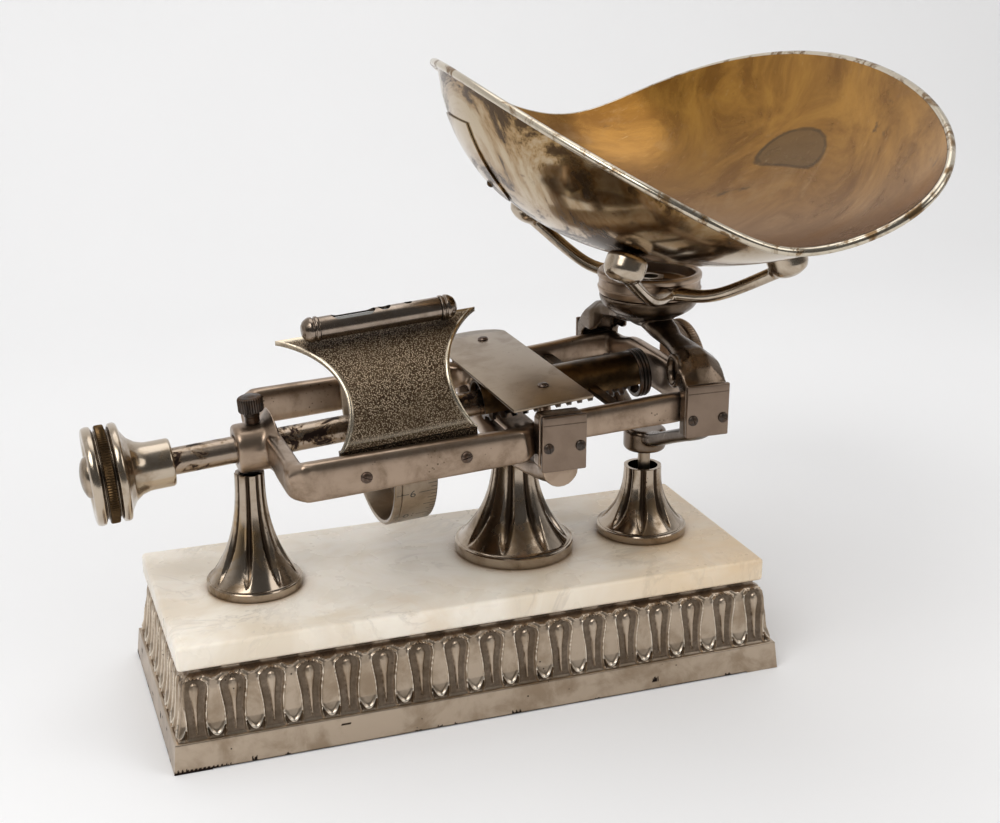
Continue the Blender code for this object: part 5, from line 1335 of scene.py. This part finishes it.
def makeClamp():
    piece = clampPiece
    neck = piece["boss"] + 0.5
    head = neck + piece["neck"]
    top = head + piece["height"]
    reach = piece["head"]

    def knurl(r, z, angle):
        return r + 0.22 * mm * math.cos(piece["knurls"] * angle) if r > reach * 0.9 * mm else r

    profile = [(0, top + 1.4), (reach * 0.35, top + 1.3), (reach * 0.5, top + 1.0),
               (reach * 0.62, top + 0.9), (reach * 0.8, top + 0.8), (reach * 0.95, top + 0.1),
               (reach, top - 0.8), (reach, head + 1.2), (reach * 0.95, head + 0.4),
               (reach * 0.6, head - 0.3), (4.2, head - 1.8), (3.75, head - 2.6), (3.75, neck), (3.0, neck),
               (3.0, 7.6), (0, 7.6)]
    screw = turnedPiece("clampThumbscrew", shaftLine(profile), darkSteel, clampPlace, piece["knurls"] * 6,
                        relief=knurl, radius=0.3 * mm)
    settle(screw, "clamp", "plated_steel", "clamp_thumbscrew")


makeClamp()

# Balance wheel with a serrated rim, on its stud beyond the crosshead
balancePiece = dict(radius=25.5, start=98.5, width=6.5, teeth=90)


def makeBalance():
    piece = balancePiece
    start, end = piece["start"], piece["start"] + piece["width"]
    reach = piece["radius"]

    def teeth(r, z, angle):
        return r + 0.25 * mm * (math.cos(piece["teeth"] * angle) - 1) if r > (reach - 0.6) * mm else r

    profile = [(4.3, end), (9, end), (11, end - 1.4), (19, end - 1.8), (21.8, end - 0.3), (23.5, end),
               (24.7, end - 0.4), (24.8, end - 1.2), (reach, end - 1.6), (reach, start + 1.4),
               (24.8, start + 1.0), (24.6, start + 0.3), (23, start), (21, start + 0.6), (12, start + 1.2),
               (10, start), (4.3, start)]
    wheel = turnedPiece("balanceWheel", shaftLine(profile), castNickel, shaftPlace, piece["teeth"] * 5, True,
                        0.3 * mm, teeth)
    settle(wheel, "balance", "plated_steel", "balance_wheel")
    stud = [(0, end + 4.6), (5.4, end + 4.6), (7.2, end + 3.6), (7.2, end + 0.4), (4, end + 0.3), (4, 80.8),
            (0, 80.8)]
    settle(turnedPiece("balanceStud", shaftLine(stud), castNickel, shaftPlace, 40), "beam", "plated_steel",
           "balance_stud")


makeBalance()

# Name shield, left bare: stippled field, bright raised rim, pointed left horn
shieldPiece = dict(centre=76.0, inner=58.5, sheet=1.8, border=0.8, halfFoot=35.5, halfWaist=28.0,
                   halfTop=52.5, topAngle=73.5, flange=58.2, ledge=9.9, footLine=0.055, columns=90, rows=60)


def shieldHalf(share, piece):
    straight = piece["halfFoot"] + (piece["halfTop"] - piece["halfFoot"]) * share ** 2
    middle = piece["halfFoot"] + (piece["halfTop"] - piece["halfFoot"]) / 4
    return straight - (middle - piece["halfWaist"]) * math.sin(math.pi * share) ** 0.8


def makeShield():
    piece = shieldPiece
    start = math.asin(piece["ledge"] / (piece["inner"] + piece["sheet"]))
    end = math.radians(piece["topAngle"])
    columns, rows = piece["columns"], piece["rows"]
    front, back, shades = [], [], []
    for row in range(rows + 1):
        share = row / rows
        angle = start + (end - start) * share
        half = shieldHalf(share, piece)
        for column in range(columns + 1):
            t = 2 * column / columns - 1
            edge = (1 - abs(t)) * half
            rim = float(smoothStep(2.3, 1.7, np.float64(edge))) if edge > 0.35 else 0.5
            rim = max(rim, float(smoothStep(0.04, 0.02, np.float64(1 - share))))
            rim = max(rim, 0.55 * math.exp(-((share - piece["footLine"]) / 0.01) ** 2))
            reach = piece["inner"] + piece["sheet"] + piece["border"] * rim
            x = (-piece["centre"] + half * t) * mm
            front.append((x, -reach * math.cos(angle) * mm, (shaftRise + reach * math.sin(angle)) * mm))
            back.append((x, -piece["inner"] * math.cos(angle) * mm,
                         (shaftRise + piece["inner"] * math.sin(angle)) * mm))
            shades.append(rim)
    mesh = bpy.data.meshes.new("nameShield")
    mesh.from_pydata(front + back, [], shellFaces(rows, columns))
    paintPoints(mesh, "relief", shades + [0.3] * len(back))
    mesh.transform(beamPlace)
    shield = finishedPiece("nameShield", mesh, stippledBrass, 50)
    settle(shield, "beam", "plated_brass", "name_shield")
    # Flange of the shield that stands inside the arm
    half = piece["halfFoot"]
    low = shaftRise - piece["ledge"] * 0.7
    high = shaftRise + piece["ledge"]
    outer = -piece["flange"]
    inner = outer + piece["sheet"]
    rings = []
    for x in (-piece["centre"] - half, -piece["centre"] + half):
        ring = [(x, inner, low), (x, outer, low), (x, outer, high - 1.2), (x, outer - 1.6, high),
                (x, inner, high)]
        rings.append([tuple(v * mm for v in point) for point in ring])
    settle(lofted("shieldFlange", rings, stippledBrass, beamPlace), "beam", "plated_brass")


makeShield()

# Level: nickel tube with windows over the vial, and ringed domed caps
levelPiece = dict(radius=5.8, length=80.0, wall=1.2,
                  windows=((-24.5, -1.6, 8.2), (1.6, 4.5, 6.4), (13.5, 17.5, 3.6)))
levelPlace = Matrix.Translation(middleOf("level_vial")) @ tiltTurn @ alongX


def makeLevel():
    piece = levelPiece
    half = piece["length"] / 2
    capLength = piece["radius"] * 1.5
    inner = piece["radius"] - piece["wall"]
    profile = [(piece["radius"], half - capLength), (piece["radius"], capLength - half),
               (inner, capLength - half), (inner, half - capLength)]
    tube = turnedPiece("levelTube", shaftLine(profile), None, None, 72, True, 0.2 * mm)
    for start, stop, across in piece["windows"]:
        outline = arcPoints((start + across / 2, 0), across / 2, 90, 270, 10)
        outline += arcPoints((stop - across / 2, 0), across / 2, -90, 90, 10)
        if stop - start < across:
            outline = arcPoints(((start + stop) / 2, 0), across / 2, 0, 345, 23)
        window = plateSolid("window", [(x * mm, y * mm) for x, y in outline], 1.5 * mm, 9 * mm)
        window.data.transform(Matrix.Rotation(-quarter, 4, "Y"))
        combine(tube, window)
    tube.data.transform(levelPlace)
    tube.data.materials.append(levelNickel)
    smoothed(tube.data, 35)
    settle(tube, "beam", "plated_brass", "level_tube")
    bulge = inner - 0.3
    end = half - capLength - 0.3
    vial = [(0, end), (bulge * 0.6, end), (bulge, end - 2), (bulge, 2 - end), (bulge * 0.6, -end), (0, -end)]
    settle(turnedPiece("levelVial", shaftLine(vial), vialGlass, levelPlace, 40, radius=1 * mm), "beam",
           "vial_glass", "level_vial")
    for side, tag in ((-1, "Left"), (1, "Right")):
        start = half - capLength + 0.3
        r = piece["radius"] * 1.1
        line = [(0, start), (r, start), (r, start + 1.5), (r * 0.9, start + 1.9), (r * 0.9, start + 2.5),
                (r * 1.0, start + 2.9), (r * 1.0, start + 4.4), (r * 0.93, start + 5.4),
                (r * 0.75, start + 7.2), (r * 0.45, start + 8.4), (0, start + 8.7)]
        line = [(rr, side * z) for rr, z in line]
        cap = turnedPiece("levelCap" + tag, shaftLine(line), levelNickel, levelPlace, 56)
        settle(cap, "beam", "plated_brass", "level_cap_" + tag.lower())


makeLevel()
print("shield and level made")

# Plate over the fulcrum
platePiece = dict(left=22.8, right=20.3, front=65.0, back=77.0, sheet=1.6, rise=15.6)


def makeTopPlate():
    piece = platePiece
    half = (piece["left"] + piece["right"]) / 2
    middle = (piece["right"] - piece["left"]) / 2
    centre = piece["back"] - half * 0.55
    outline = [(piece["right"], -piece["front"])]
    outline += [(x, centre + (y - centre) * 0.55) for x, y in arcPoints((middle, centre), half, 0, 180, 32)]
    outline += [(-piece["left"], -piece["front"])]
    outline = [(x * mm, y * mm) for x, y in outline]
    z, thick = shaftRise + piece["rise"], piece["sheet"] / 2
    plate = plateSolid("topPlate", outline, (z - thick) * mm, (z + thick) * mm, satinNickel)
    bevelled(plate, 0.35 * mm, 2)
    plate.data.transform(beamPlace)
    settle(plate, "beam", "plated_steel", "top_plate")


makeTopPlate()

# Load yoke: cone, channelled legs to a cheek on either side, and a loop to the rod's boss
loadPiece = dict(middle=69.15, thick=6.4, top=16.5, drop=11.5, half=12.0, coneRadius=27.5, coneTop=48.0,
                 bossRadius=12.0, bossDrop=42.5, bossHeight=12.5, earPlace=(57.0, 20.2), earRim=1.7, eye=3.2,
                 eyeStretch=1.55, voxel=0.8)


def makeLoadYoke():
    piece = loadPiece
    middle = piece["middle"]
    profile = [(0, piece["coneTop"]), (piece["coneRadius"] - 0.4, piece["coneTop"]),
               (piece["coneRadius"], piece["coneTop"] - 0.6)]
    shape = [(27.3, 46.0), (26.6, 44.0), (25.0, 41.4), (21.4, 38.6), (16.8, 36.2), (12.4, 33.6), (9.0, 31.0),
             (5.0, 29.4), (0, 29.0)]
    profile += smoothStations(shape, 4)
    solids = [turnedPiece("loadYoke", shaftLine(profile), None, None, 96, radius=0)]
    earAcross, earRise = piece["earPlace"]
    # Wishbone legs, as (y, low, high, half across), and a gabled hood over each arm's end
    legs = [(0, 29.5, 37.0, 7.5), (10, 28.6, 37.5, 8.4), (20, 26.6, 36.0, 8.2), (28.7, 25.2, 33.2, 6.7),
            (37, 24.0, 32.2, 6.9), (44, 22.8, 31.6, 8.0), (52, 21.0, 30.6, 9.0)]
    for side in (-1, 1):
        rows = [(0, side * y * mm, (low + high) / 2 * mm, a * mm, (high - low) / 2 * mm)
                for y, low, high, a in legs]
        solids.append(barAlong("leg", rows, flatten=(1, 0, 0), power=2.6, count=28, spans=5))
        hood = []
        for y, low, eave, peak, half in ((47, 19.5, 25.0, 30.0, 8.0), (51, 15.0, 25.8, 31.0, 10.5),
                                         (55, 13.2, 25.6, 30.8, 11.8), (62, 13.0, 24.0, 29.0, 12.0),
                                         (67.5, 9.0, 19.5, 23.5, 12.0), (71.6, 5.0, 15.6, 17.0, 11.8)):
            section = [(-half, low), (-half, eave), (-half * 0.4, peak), (half * 0.4, peak), (half, eave),
                       (half, low)]
            hood.append([(x * mm, side * y * mm, z * mm) for x, z in section])
        solids.append(lofted("hood", hood))
        if side > 0:
            continue
        # Rolled rim round the eye in the front hood's left wall
        rim = []
        for angle in (math.tau * step / 28 for step in range(28)):
            spot = Vector((-11.6, side * (earAcross + 5.6 * math.cos(angle)),
                           earRise + 7.6 * math.sin(angle)))
            out = Vector((0, side * math.cos(angle), math.sin(angle)))
            rim.append([(spot + (out * math.cos(a) + Vector((1, 0, 0)) * math.sin(a)) * piece["earRim"]) * mm
                        for a in (math.tau * step / 10 for step in range(10))])
        solids.append(lofted("earRim", rim, closed=True))
    bossZ = -piece["bossDrop"] + piece["bossHeight"] * 0.62
    low = -piece["drop"] * 0.6
    loop = [(-1, 0, 8.6, 4.0), (-0.9, 0.24, 7.7, 3.7), (-0.74, 0.4, 7.0, 3.7), (-0.48, 0.66, 6.5, 3.7),
            (-0.22, 0.92, 6.3, 3.8), (0, 1.0, 6.3, 3.9)]
    loop += [(-y, z, a, t) for y, z, a, t in loop[-2::-1]]
    rows = [(0, middle * y * mm, (low + (bossZ - low) * z) * mm, a * mm, t * mm) for y, z, a, t in loop]
    solids.append(barAlong("loop", rows, flatten=(1, 0, 0), power=2.8, count=24, spans=4))
    bossTop = -piece["bossDrop"] + piece["bossHeight"]
    boss = [(0, bossTop), (10.2, bossTop), (piece["bossRadius"], bossTop - 1.5),
            (piece["bossRadius"], 1.5 - piece["bossDrop"]), (11, -piece["bossDrop"]),
            (0, -piece["bossDrop"])]
    solids.append(turnedPiece("boss", shaftLine(boss), None, None, 56))
    for side in (-1, 1):
        half, top, drop = piece["half"], piece["top"], piece["drop"]
        outline = [(-half, -drop), (half, -drop), (half, top * 0.86), (half * 0.88, top),
                   (-half * 0.88, top), (-half, top * 0.86)]
        place = Matrix.Translation((0, side * middle * mm, 0)) @ upright
        thick = piece["thick"] / 2 * mm
        solids.append(plateSolid("cheek", [(x * mm, y * mm) for x, y in outline], -thick, thick, None,
                                 place))
    cutters = []
    for side in (-1, 1):
        cutters.append(boxSolid("window", (13 * mm, 9 * mm, 19.2 * mm), (0, side * middle * mm, 0)))
        arch = [(8.4, 4.0)] + arcPoints((0, 16.5), 8.4, 0, 180, 16) + [(-8.4, 4.0)]
        cavity = lofted("cavity", [[(x * mm, side * y * mm, z * mm) for x, z in arch] for y in (44, 65.9)])
        cutters.append(cavity)
        if side > 0:
            continue
        circle = arcPoints((0, 0), piece["eye"], 0, 345, 23)
        eye = [(side * earAcross + y, earRise + z * piece["eyeStretch"]) for y, z in circle]
        cutters.append(lofted("eye", [[(x * mm, y * mm, z * mm) for y, z in eye] for x in (-15, -7)]))
    yoke = castPiece("loadYoke", solids, piece["voxel"] * mm, 5, darkCasting, cutters)
    yoke.data.transform(loadPlace)
    settle(yoke, "load", "plated_iron", "load_yoke")


makeLoadYoke()
print("load yoke cast")

# Spider: bowl with four arms and round pads below the scoop
spiderPiece = dict(bowl=28.5, height=12.5, wall=3.6, foot=48.3, arm=3.6, pad=10.5, reach=82.0, spread=30.5)
scoopPiece = dict(halfWidth=113.5, halfLength=202.9, bowlDepth=106.4, turn=-1.84, rimHeight=69.4,
                  rimSaddle=28.4, rimLean=-5.3, rimTwist=3.7, backRise=10.2, flare=0.32, sheet=0.9, bead=2.1,
                  sectors=176, rows=44)


def scoopPoint(angle, share):
    piece = scoopPiece
    lift = piece["rimHeight"] + piece["rimLean"] * math.cos(angle) + piece["rimSaddle"] * math.cos(2 * angle)
    lift += piece["rimTwist"] * math.cos(3 * angle) + piece["backRise"] * math.sin(angle)
    lift = min(lift, piece["bowlDepth"])
    reach = math.sqrt(1 - (1 - lift / piece["bowlDepth"]) ** 2) * share
    along = piece["halfWidth"] * reach * math.cos(angle)
    across = piece["halfLength"] * reach * math.sin(angle) * (1 + piece["flare"] * reach * math.cos(angle))
    height = piece["bowlDepth"] * (1 - math.sqrt(max(1 - reach * reach, 0)))
    point = Matrix.Rotation(math.radians(piece["turn"]), 3, "Z") @ Vector((along, across, height))
    return point * mm


def scoopNormal(angle, share):
    step = 1e-3
    rise = scoopPoint(angle, share + step) - scoopPoint(angle, share - step)
    turn = scoopPoint(angle + step, share) - scoopPoint(angle - step, share)
    return rise.cross(turn).normalized()


def scoopUnder(x, y):
    # Point and outward direction on the pan's outer face above a place in the yoke's frame
    offset = scoopPlace.translation - loadPlace.translation
    target = Vector((x, y)) - offset.xy
    share, angle = 0.5, math.atan2(target.y, target.x)
    for _ in range(60):
        point = scoopPoint(angle, share)
        share *= target.length / max(point.xy.length, 1e-6)
        angle += math.atan2(target.y, target.x) - math.atan2(point.y, point.x)
    normal = scoopNormal(angle, share)
    place = scoopPoint(angle, share) - normal * (scoopPiece["sheet"] + 0.3) * mm + offset
    return place, -normal


def makeSpider():
    piece = spiderPiece
    foot, top = piece["foot"], piece["foot"] + piece["height"]
    bowl, inner = piece["bowl"], piece["bowl"] - piece["wall"]
    profile = [(4.8, foot + 3), (inner * 0.85, foot + 3), (inner, foot + 5.4), (inner, top - 1),
               (inner + 1, top), (bowl - 1, top), (bowl, top - 1), (bowl, top - 3.4),
               (bowl - 0.7, top - 4.0), (bowl - 0.7, foot + 4.2), (bowl, foot + 3.6), (27.5, foot),
               (4.8, foot)]
    dish = turnedPiece("spiderBowl", shaftLine(profile), castNickel, loadPlace, 96, True, 0.5 * mm)
    settle(dish, "load", "plated_iron", "spider")
    low = (foot + piece["arm"] * 1.3) * mm
    solids = []
    for end in (-1, 1):
        for side in (-1, 1):
            spread, turned = math.radians(piece["spread"]), math.radians(scoopPiece["turn"])
            direction = end * quarter + side * spread + turned
            x, y = piece["reach"] * math.cos(direction) * mm, piece["reach"] * math.sin(direction) * mm
            place, down = scoopUnder(x, y)
            lean = 1 if math.cos(direction) > 0 else -1
            start = Vector((lean * 1.6 * mm, end * (bowl - 2.2) * mm, low))
            cup = place + down * piece["pad"] * mm
            knee = start + (cup - start) * 0.4
            knee.z = low + (cup.z - low) * 0.12
            first = start - (knee - start).normalized() * 3 * mm
            arm = piece["arm"] * mm
            path = [(*first, arm * 1.25, arm), (*start, arm * 1.2, arm), (*knee, arm, arm * 0.9),
                    (*cup, arm, arm)]
            solids.append(barAlong("spiderArms", path, power=2.2, count=16, spans=8))
            pad = piece["pad"]
            line = [(0, 0), (pad * 0.55, -0.3), (pad * 0.86, -1.0), (pad, -3.0), (pad, -9.5),
                    (pad * 0.86, -12.6), (pad * 0.5, -14.8), (0, -15.2)]
            turn = Vector((0, 0, -1)).rotation_difference(down).to_matrix().to_4x4()
            solids.append(turnedPiece("cup", shaftLine(line), None, Matrix.Translation(place) @ turn, 40,
                                      radius=0.6 * mm))
    arms = castPiece("spiderArms", solids, 0.8 * mm, 4, brightNickel)
    arms.data.transform(loadPlace)
    settle(arms, "load", "plated_iron", "spider")


makeSpider()
print("spider made")


def scoopInsideFinish():
    # Lacquered brass gone cloudy: golden high on the walls, browner below, with scratches and a dull leaf
    finish = Finish("scoopInside")
    cloud = finish.noise(15, 8, 0.66, 1.0)
    color = finish.blend(finish.between(cloud, 0.32, 0.66), (0.43, 0.215, 0.042), (0.20, 0.088, 0.016))
    parts = finish.nodeOf("SeparateXYZ", finish.place)
    low = finish.between(parts.outputs["Z"], 0.225, 0.30, 0.75, 0.0)
    color = finish.blend(low, color, (0.19, 0.095, 0.034))
    milky = finish.between(finish.noise(22, 7, 0.68, 0.8), 0.54, 0.68)
    color = finish.blend(milky, color, (0.36, 0.22, 0.10), 0.35)
    leaf = finish.painted("leaf")
    torn = finish.between(finish.noise(60, 5), 0, 1, -0.14, 0.14)
    ragged = finish.between(finish.plus(leaf, torn), 0.42, 0.5)
    outline = finish.apart(leaf, 0.45)
    rimmed = finish.between(outline, 0.02, 0.1, 0.7, 0.0)
    color = finish.blend(ragged, color, (0.15, 0.088, 0.036), 0.85)
    color = finish.blend(rimmed, color, (0.075, 0.045, 0.02))
    scratch = finish.between(finish.noise(60, 6, 0.8, 0.0, (0.25, 9, 3)), 0.6, 0.7)
    color = finish.blend(scratch, color, (0.66, 0.47, 0.25), 0.4)
    dark = finish.between(finish.noise(24, 8, 0.7, 1.5), 0.62, 0.7)
    color = finish.blend(dark, color, (0.085, 0.048, 0.02), 0.8)
    finish.bump(finish.noise(45, 5, 0.6), 0.25 * mm, 0.4)
    return finish.give(color, finish.between(cloud, 0.3, 0.7, 0.17, 0.32), 1.0)


def scoopOutsideFinish():
    # Thin nickel worn through to brown brass in soft-edged patches
    finish = Finish("scoopOutside")
    ragged = finish.noise(14, 9, 0.7, 1.2)
    gone = finish.between(ragged, 0.51, 0.585)
    halo = finish.between(ragged, 0.42, 0.55)
    color = finish.blend(halo, (0.50, 0.395, 0.26), (0.34, 0.21, 0.085))
    color = finish.blend(gone, color, (0.075, 0.041, 0.015))
    fleck = finish.between(finish.noise(120, 6, 0.7), 0.6, 0.7)
    color = finish.blend(fleck, color, (0.18, 0.11, 0.055), 0.7)
    finish.bump(finish.minus(finish.noise(40, 5, 0.6), finish.times(gone, 0.2)),
                0.2 * mm, 0.4)
    return finish.give(color, finish.between(gone, 0, 1, 0.12, 0.28), 1.0)


def beadFinish():
    finish = Finish("scoopBead")
    ragged = finish.noise(60, 7, 0.66, 0.8)
    color = finish.blend(finish.between(ragged, 0.5, 0.6), (0.60, 0.53, 0.42), (0.22, 0.14, 0.07))
    finish.bump(finish.noise(300, 4, 0.6), 0.05 * mm, 0.4)
    return finish.give(color, finish.between(ragged, 0.4, 0.7, 0.16, 0.36), 1.0)


scoopInside, scoopOutside, scoopBead = scoopInsideFinish(), scoopOutsideFinish(), beadFinish()

# Stain on the scoop's inner face
leafPiece = dict(angle=6.0, share=0.8, halfWidth=31.0, halfHeight=13.0, bend=0.5)


def scoopSheetPiece(name, lift, material):
    piece = scoopPiece
    sectors, rows = piece["sectors"], piece["rows"]
    points = [scoopPoint(0, 0) + Vector((0, 0, -lift * mm))]
    for row in range(1, rows + 1):
        share = row / rows
        for i in range(sectors):
            angle = math.tau * i / sectors
            points.append(scoopPoint(angle, share) - scoopNormal(angle, share) * lift * mm)
    faces = [(0, 1 + i, 1 + (i + 1) % sectors) for i in range(sectors)]
    for row in range(rows - 1):
        for i in range(sectors):
            j = (i + 1) % sectors
            a, b = 1 + row * sectors, 1 + (row + 1) * sectors
            faces.append((a + i, b + i, b + j, a + j))
    return meshPiece(name, points, faces, material, scoopPlace, 60)


def leafShade(sheet):
    # Dull leaf-shaped stain on the far wall, as a share that is 1 at its heart
    piece = leafPiece
    angle, share = math.radians(piece["angle"]), piece["share"]
    centre = scoopPlace @ scoopPoint(angle, share)
    across = (scoopPlace @ scoopPoint(angle + 0.02, share) - centre).normalized()
    up = (scoopPlace @ scoopPoint(angle, share + 0.02) - centre).normalized()
    shades = []
    for vertex in sheet.data.vertices:
        offset = vertex.co - centre
        x, y = offset.dot(across) / (piece["halfWidth"] * mm), offset.dot(up) / (piece["halfHeight"] * mm)
        bent = y - piece["bend"] * (1 - x * x)
        shades.append(math.exp(-(x * x) ** 1.6 - (bent * bent) ** 1.2) if offset.length < 0.08 else 0.0)
    return shades


def makeScoop():
    piece = scoopPiece
    inside = settle(scoopSheetPiece("scoopInside", 0, scoopInside), "scoop", "scoop_brass")
    paintPoints(inside.data, "leaf", leafShade(inside))
    outside = settle(scoopSheetPiece("scoopOutside", piece["sheet"], scoopOutside), "scoop", "scoop_brass")
    sectors = piece["sectors"] * 2
    rings = []
    for i in range(sectors):
        angle = math.tau * i / sectors
        edge = scoopPoint(angle, 1)
        into = scoopNormal(angle, 1)
        along = (edge - scoopPoint(angle, 0.98)).normalized()
        centre = edge - into * (piece["bead"] + 0.1) * mm
        rings.append([centre + (into * math.cos(a) + along * math.sin(a)) * piece["bead"] * mm
                      for a in (math.tau * k / 16 for k in range(16))])
    bead = settle(lofted("scoopBead", rings, scoopBead, scoopPlace, True, 60), "scoop", "scoop_brass")
    for part in (inside, outside, bead):
        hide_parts("scoop_pan")


makeScoop()

# Riveted patch on the outside of the scoop's left end
patchPiece = dict(angle=176.0, halfWidth=24.0, heightShare=0.52, sheet=0.7, gap=1.2)


def makePatch():
    piece = patchPiece
    middle = math.radians(piece["angle"])
    rim = scoopPoint(middle, 1).length
    rows, columns = 24, 28
    layers = []
    for lift in (piece["gap"], piece["gap"] + piece["sheet"]):
        for row in range(rows + 1):
            share = 0.955 - (1 - 0.955 + piece["heightShare"]) * 0.42 * row / rows
            narrowing = math.sqrt(max(1 - (row / rows) ** 4 * 0.75, 0))
            for column in range(columns + 1):
                offset = (2 * column / columns - 1) * piece["halfWidth"] * mm * narrowing
                angle = middle + offset / rim
                layers.append(scoopPoint(angle, share) - scoopNormal(angle, share) * lift * mm)
    patch = meshPiece("nosePatch", layers, shellFaces(rows, columns), scoopOutside, scoopPlace, 50)
    settle(patch, "scoop", "plated_brass", "nose_patch")
    share = 0.955 - (1 - 0.955 + piece["heightShare"]) * 0.42 * 0.72
    outward = -scoopNormal(middle, share)
    seat = scoopPoint(middle, share) + outward * (piece["gap"] + piece["sheet"] + 0.2) * mm
    line = [(0, 1.5), (0.8, 1.4), (1.5, 1.0), (2.0, 0.45), (2.2, 0), (0, 0)]
    rivet = turnedPiece("patchRivet", shaftLine(line), brassFinish, scoopPlace @ outwardPlace(seat, outward),
                        32, radius=0)
    settle(rivet, "scoop", "bare_brass", "patch_rivet")


makePatch()
print("scoop made")

# Floor, backdrop, lamps and camera
studio = dict(lens=55.35, film=36, cameraPlace=(-0.25824, -0.75064, 0.4068), cameraTilt=71.72,
              cameraTurn=-19.81, lampsAimAt=(0, 0, 0.12), halfWidth=3.2, front=-1.6, sweepAt=0.75, sweep=0.5,
              wallTop=2.4, floor=(0.90, 0.90, 0.905), sky=(0.90, 0.905, 0.92), skyLight=0.62,
              lamps=(("keyLamp", (-0.9, -0.7, 1.5), 1.1, 11.0), ("fillLamp", (1.1, -0.9, 1.2), 1.0, 4.5),
                     ("topLamp", (0.1, 0.35, 1.5), 1.2, 4.0)))


def makeStudio():
    finish = Finish("paleFloor")
    tint = finish.blend(finish.between(finish.noise(3, 2), 0.3, 0.7), studio["floor"],
                        tuple(c * 0.99 for c in studio["floor"]))
    floorFinish = finish.give(tint, 0.75, 0.0)
    finish.shader.inputs["Specular IOR Level"].default_value = 0.15
    bend, sweep = studio["sweepAt"], studio["sweep"]
    section = [(studio["front"], 0.0), (bend, 0.0)]
    for step in range(1, 17):
        angle = quarter * step / 16
        section.append((bend + sweep * math.sin(angle), sweep - sweep * math.cos(angle)))
    section.append((bend + sweep, studio["wallTop"]))
    rings = [[(x, y, z) for y, z in section] for x in (-studio["halfWidth"], studio["halfWidth"])]
    points = rings[0] + rings[1]
    count = len(section)
    faces = [(i, i + 1, count + i + 1, count + i) for i in range(count - 1)]
    floor = meshPiece("floor", points, faces, floorFinish, None, 80)
    world = bpy.data.worlds.new("studio")
    scene.world = world
    world.use_nodes = True
    sky = Shading(world.node_tree)
    back = sky.tree.nodes["Background"]
    back.inputs["Color"].default_value = (1.0, 0.99, 0.98, 1)
    back.inputs["Strength"].default_value = studio["skyLight"]
    seen = sky.add("Background", Color=(*studio["sky"], 1))
    # The sky is seen by the camera and in reflections, and its even light falls on everything else
    rays = sky.add("LightPath").outputs
    share = sky.maths("MAXIMUM", rays["Is Camera Ray"], rays["Is Glossy Ray"])
    share = sky.maths("MAXIMUM", share, rays["Is Transmission Ray"])
    mix = sky.nodeOf("MixShader", share)
    # Paler towards the horizon and darker behind the camera, as in a room with one lit wall
    direction = sky.add("TexCoord").outputs["Generated"]
    depth = sky.nodeOf("SeparateXYZ", direction).outputs["Y"]
    sky.link(sky.between(depth, -0.55, 0.45, 0.12, 0.9), seen.inputs["Strength"])
    sky.link(back.outputs[0], mix.inputs[1])
    sky.link(seen.outputs[0], mix.inputs[2])
    sky.link(mix.outputs[0], sky.tree.nodes["World Output"].inputs["Surface"])
    for name, place, size, power in studio["lamps"]:
        lamp = bpy.data.lights.new(name, "AREA")
        lamp.shape = "DISK"
        lamp.size = size
        lamp.energy = power
        holder = bpy.data.objects.new(name, lamp)
        holder.location = place
        holder.rotation_euler = (Vector(studio["lampsAimAt"])
                                 - Vector(place)).to_track_quat("-Z", "Y").to_euler()
        scene.collection.objects.link(holder)
    camera = bpy.data.cameras.new("photoCamera")
    camera.lens = studio["lens"]
    camera.sensor_width = studio["film"]
    camera.sensor_fit = "HORIZONTAL"
    camera.clip_start = 0.01
    seat = bpy.data.objects.new("photoCamera", camera)
    seat.location = studio["cameraPlace"]
    seat.rotation_euler = (math.radians(studio["cameraTilt"]), 0, math.radians(studio["cameraTurn"]))
    scene.collection.objects.link(seat)
    scene.camera = seat
    scene.view_settings.view_transform = "Standard"


makeStudio()
print("scene ready")
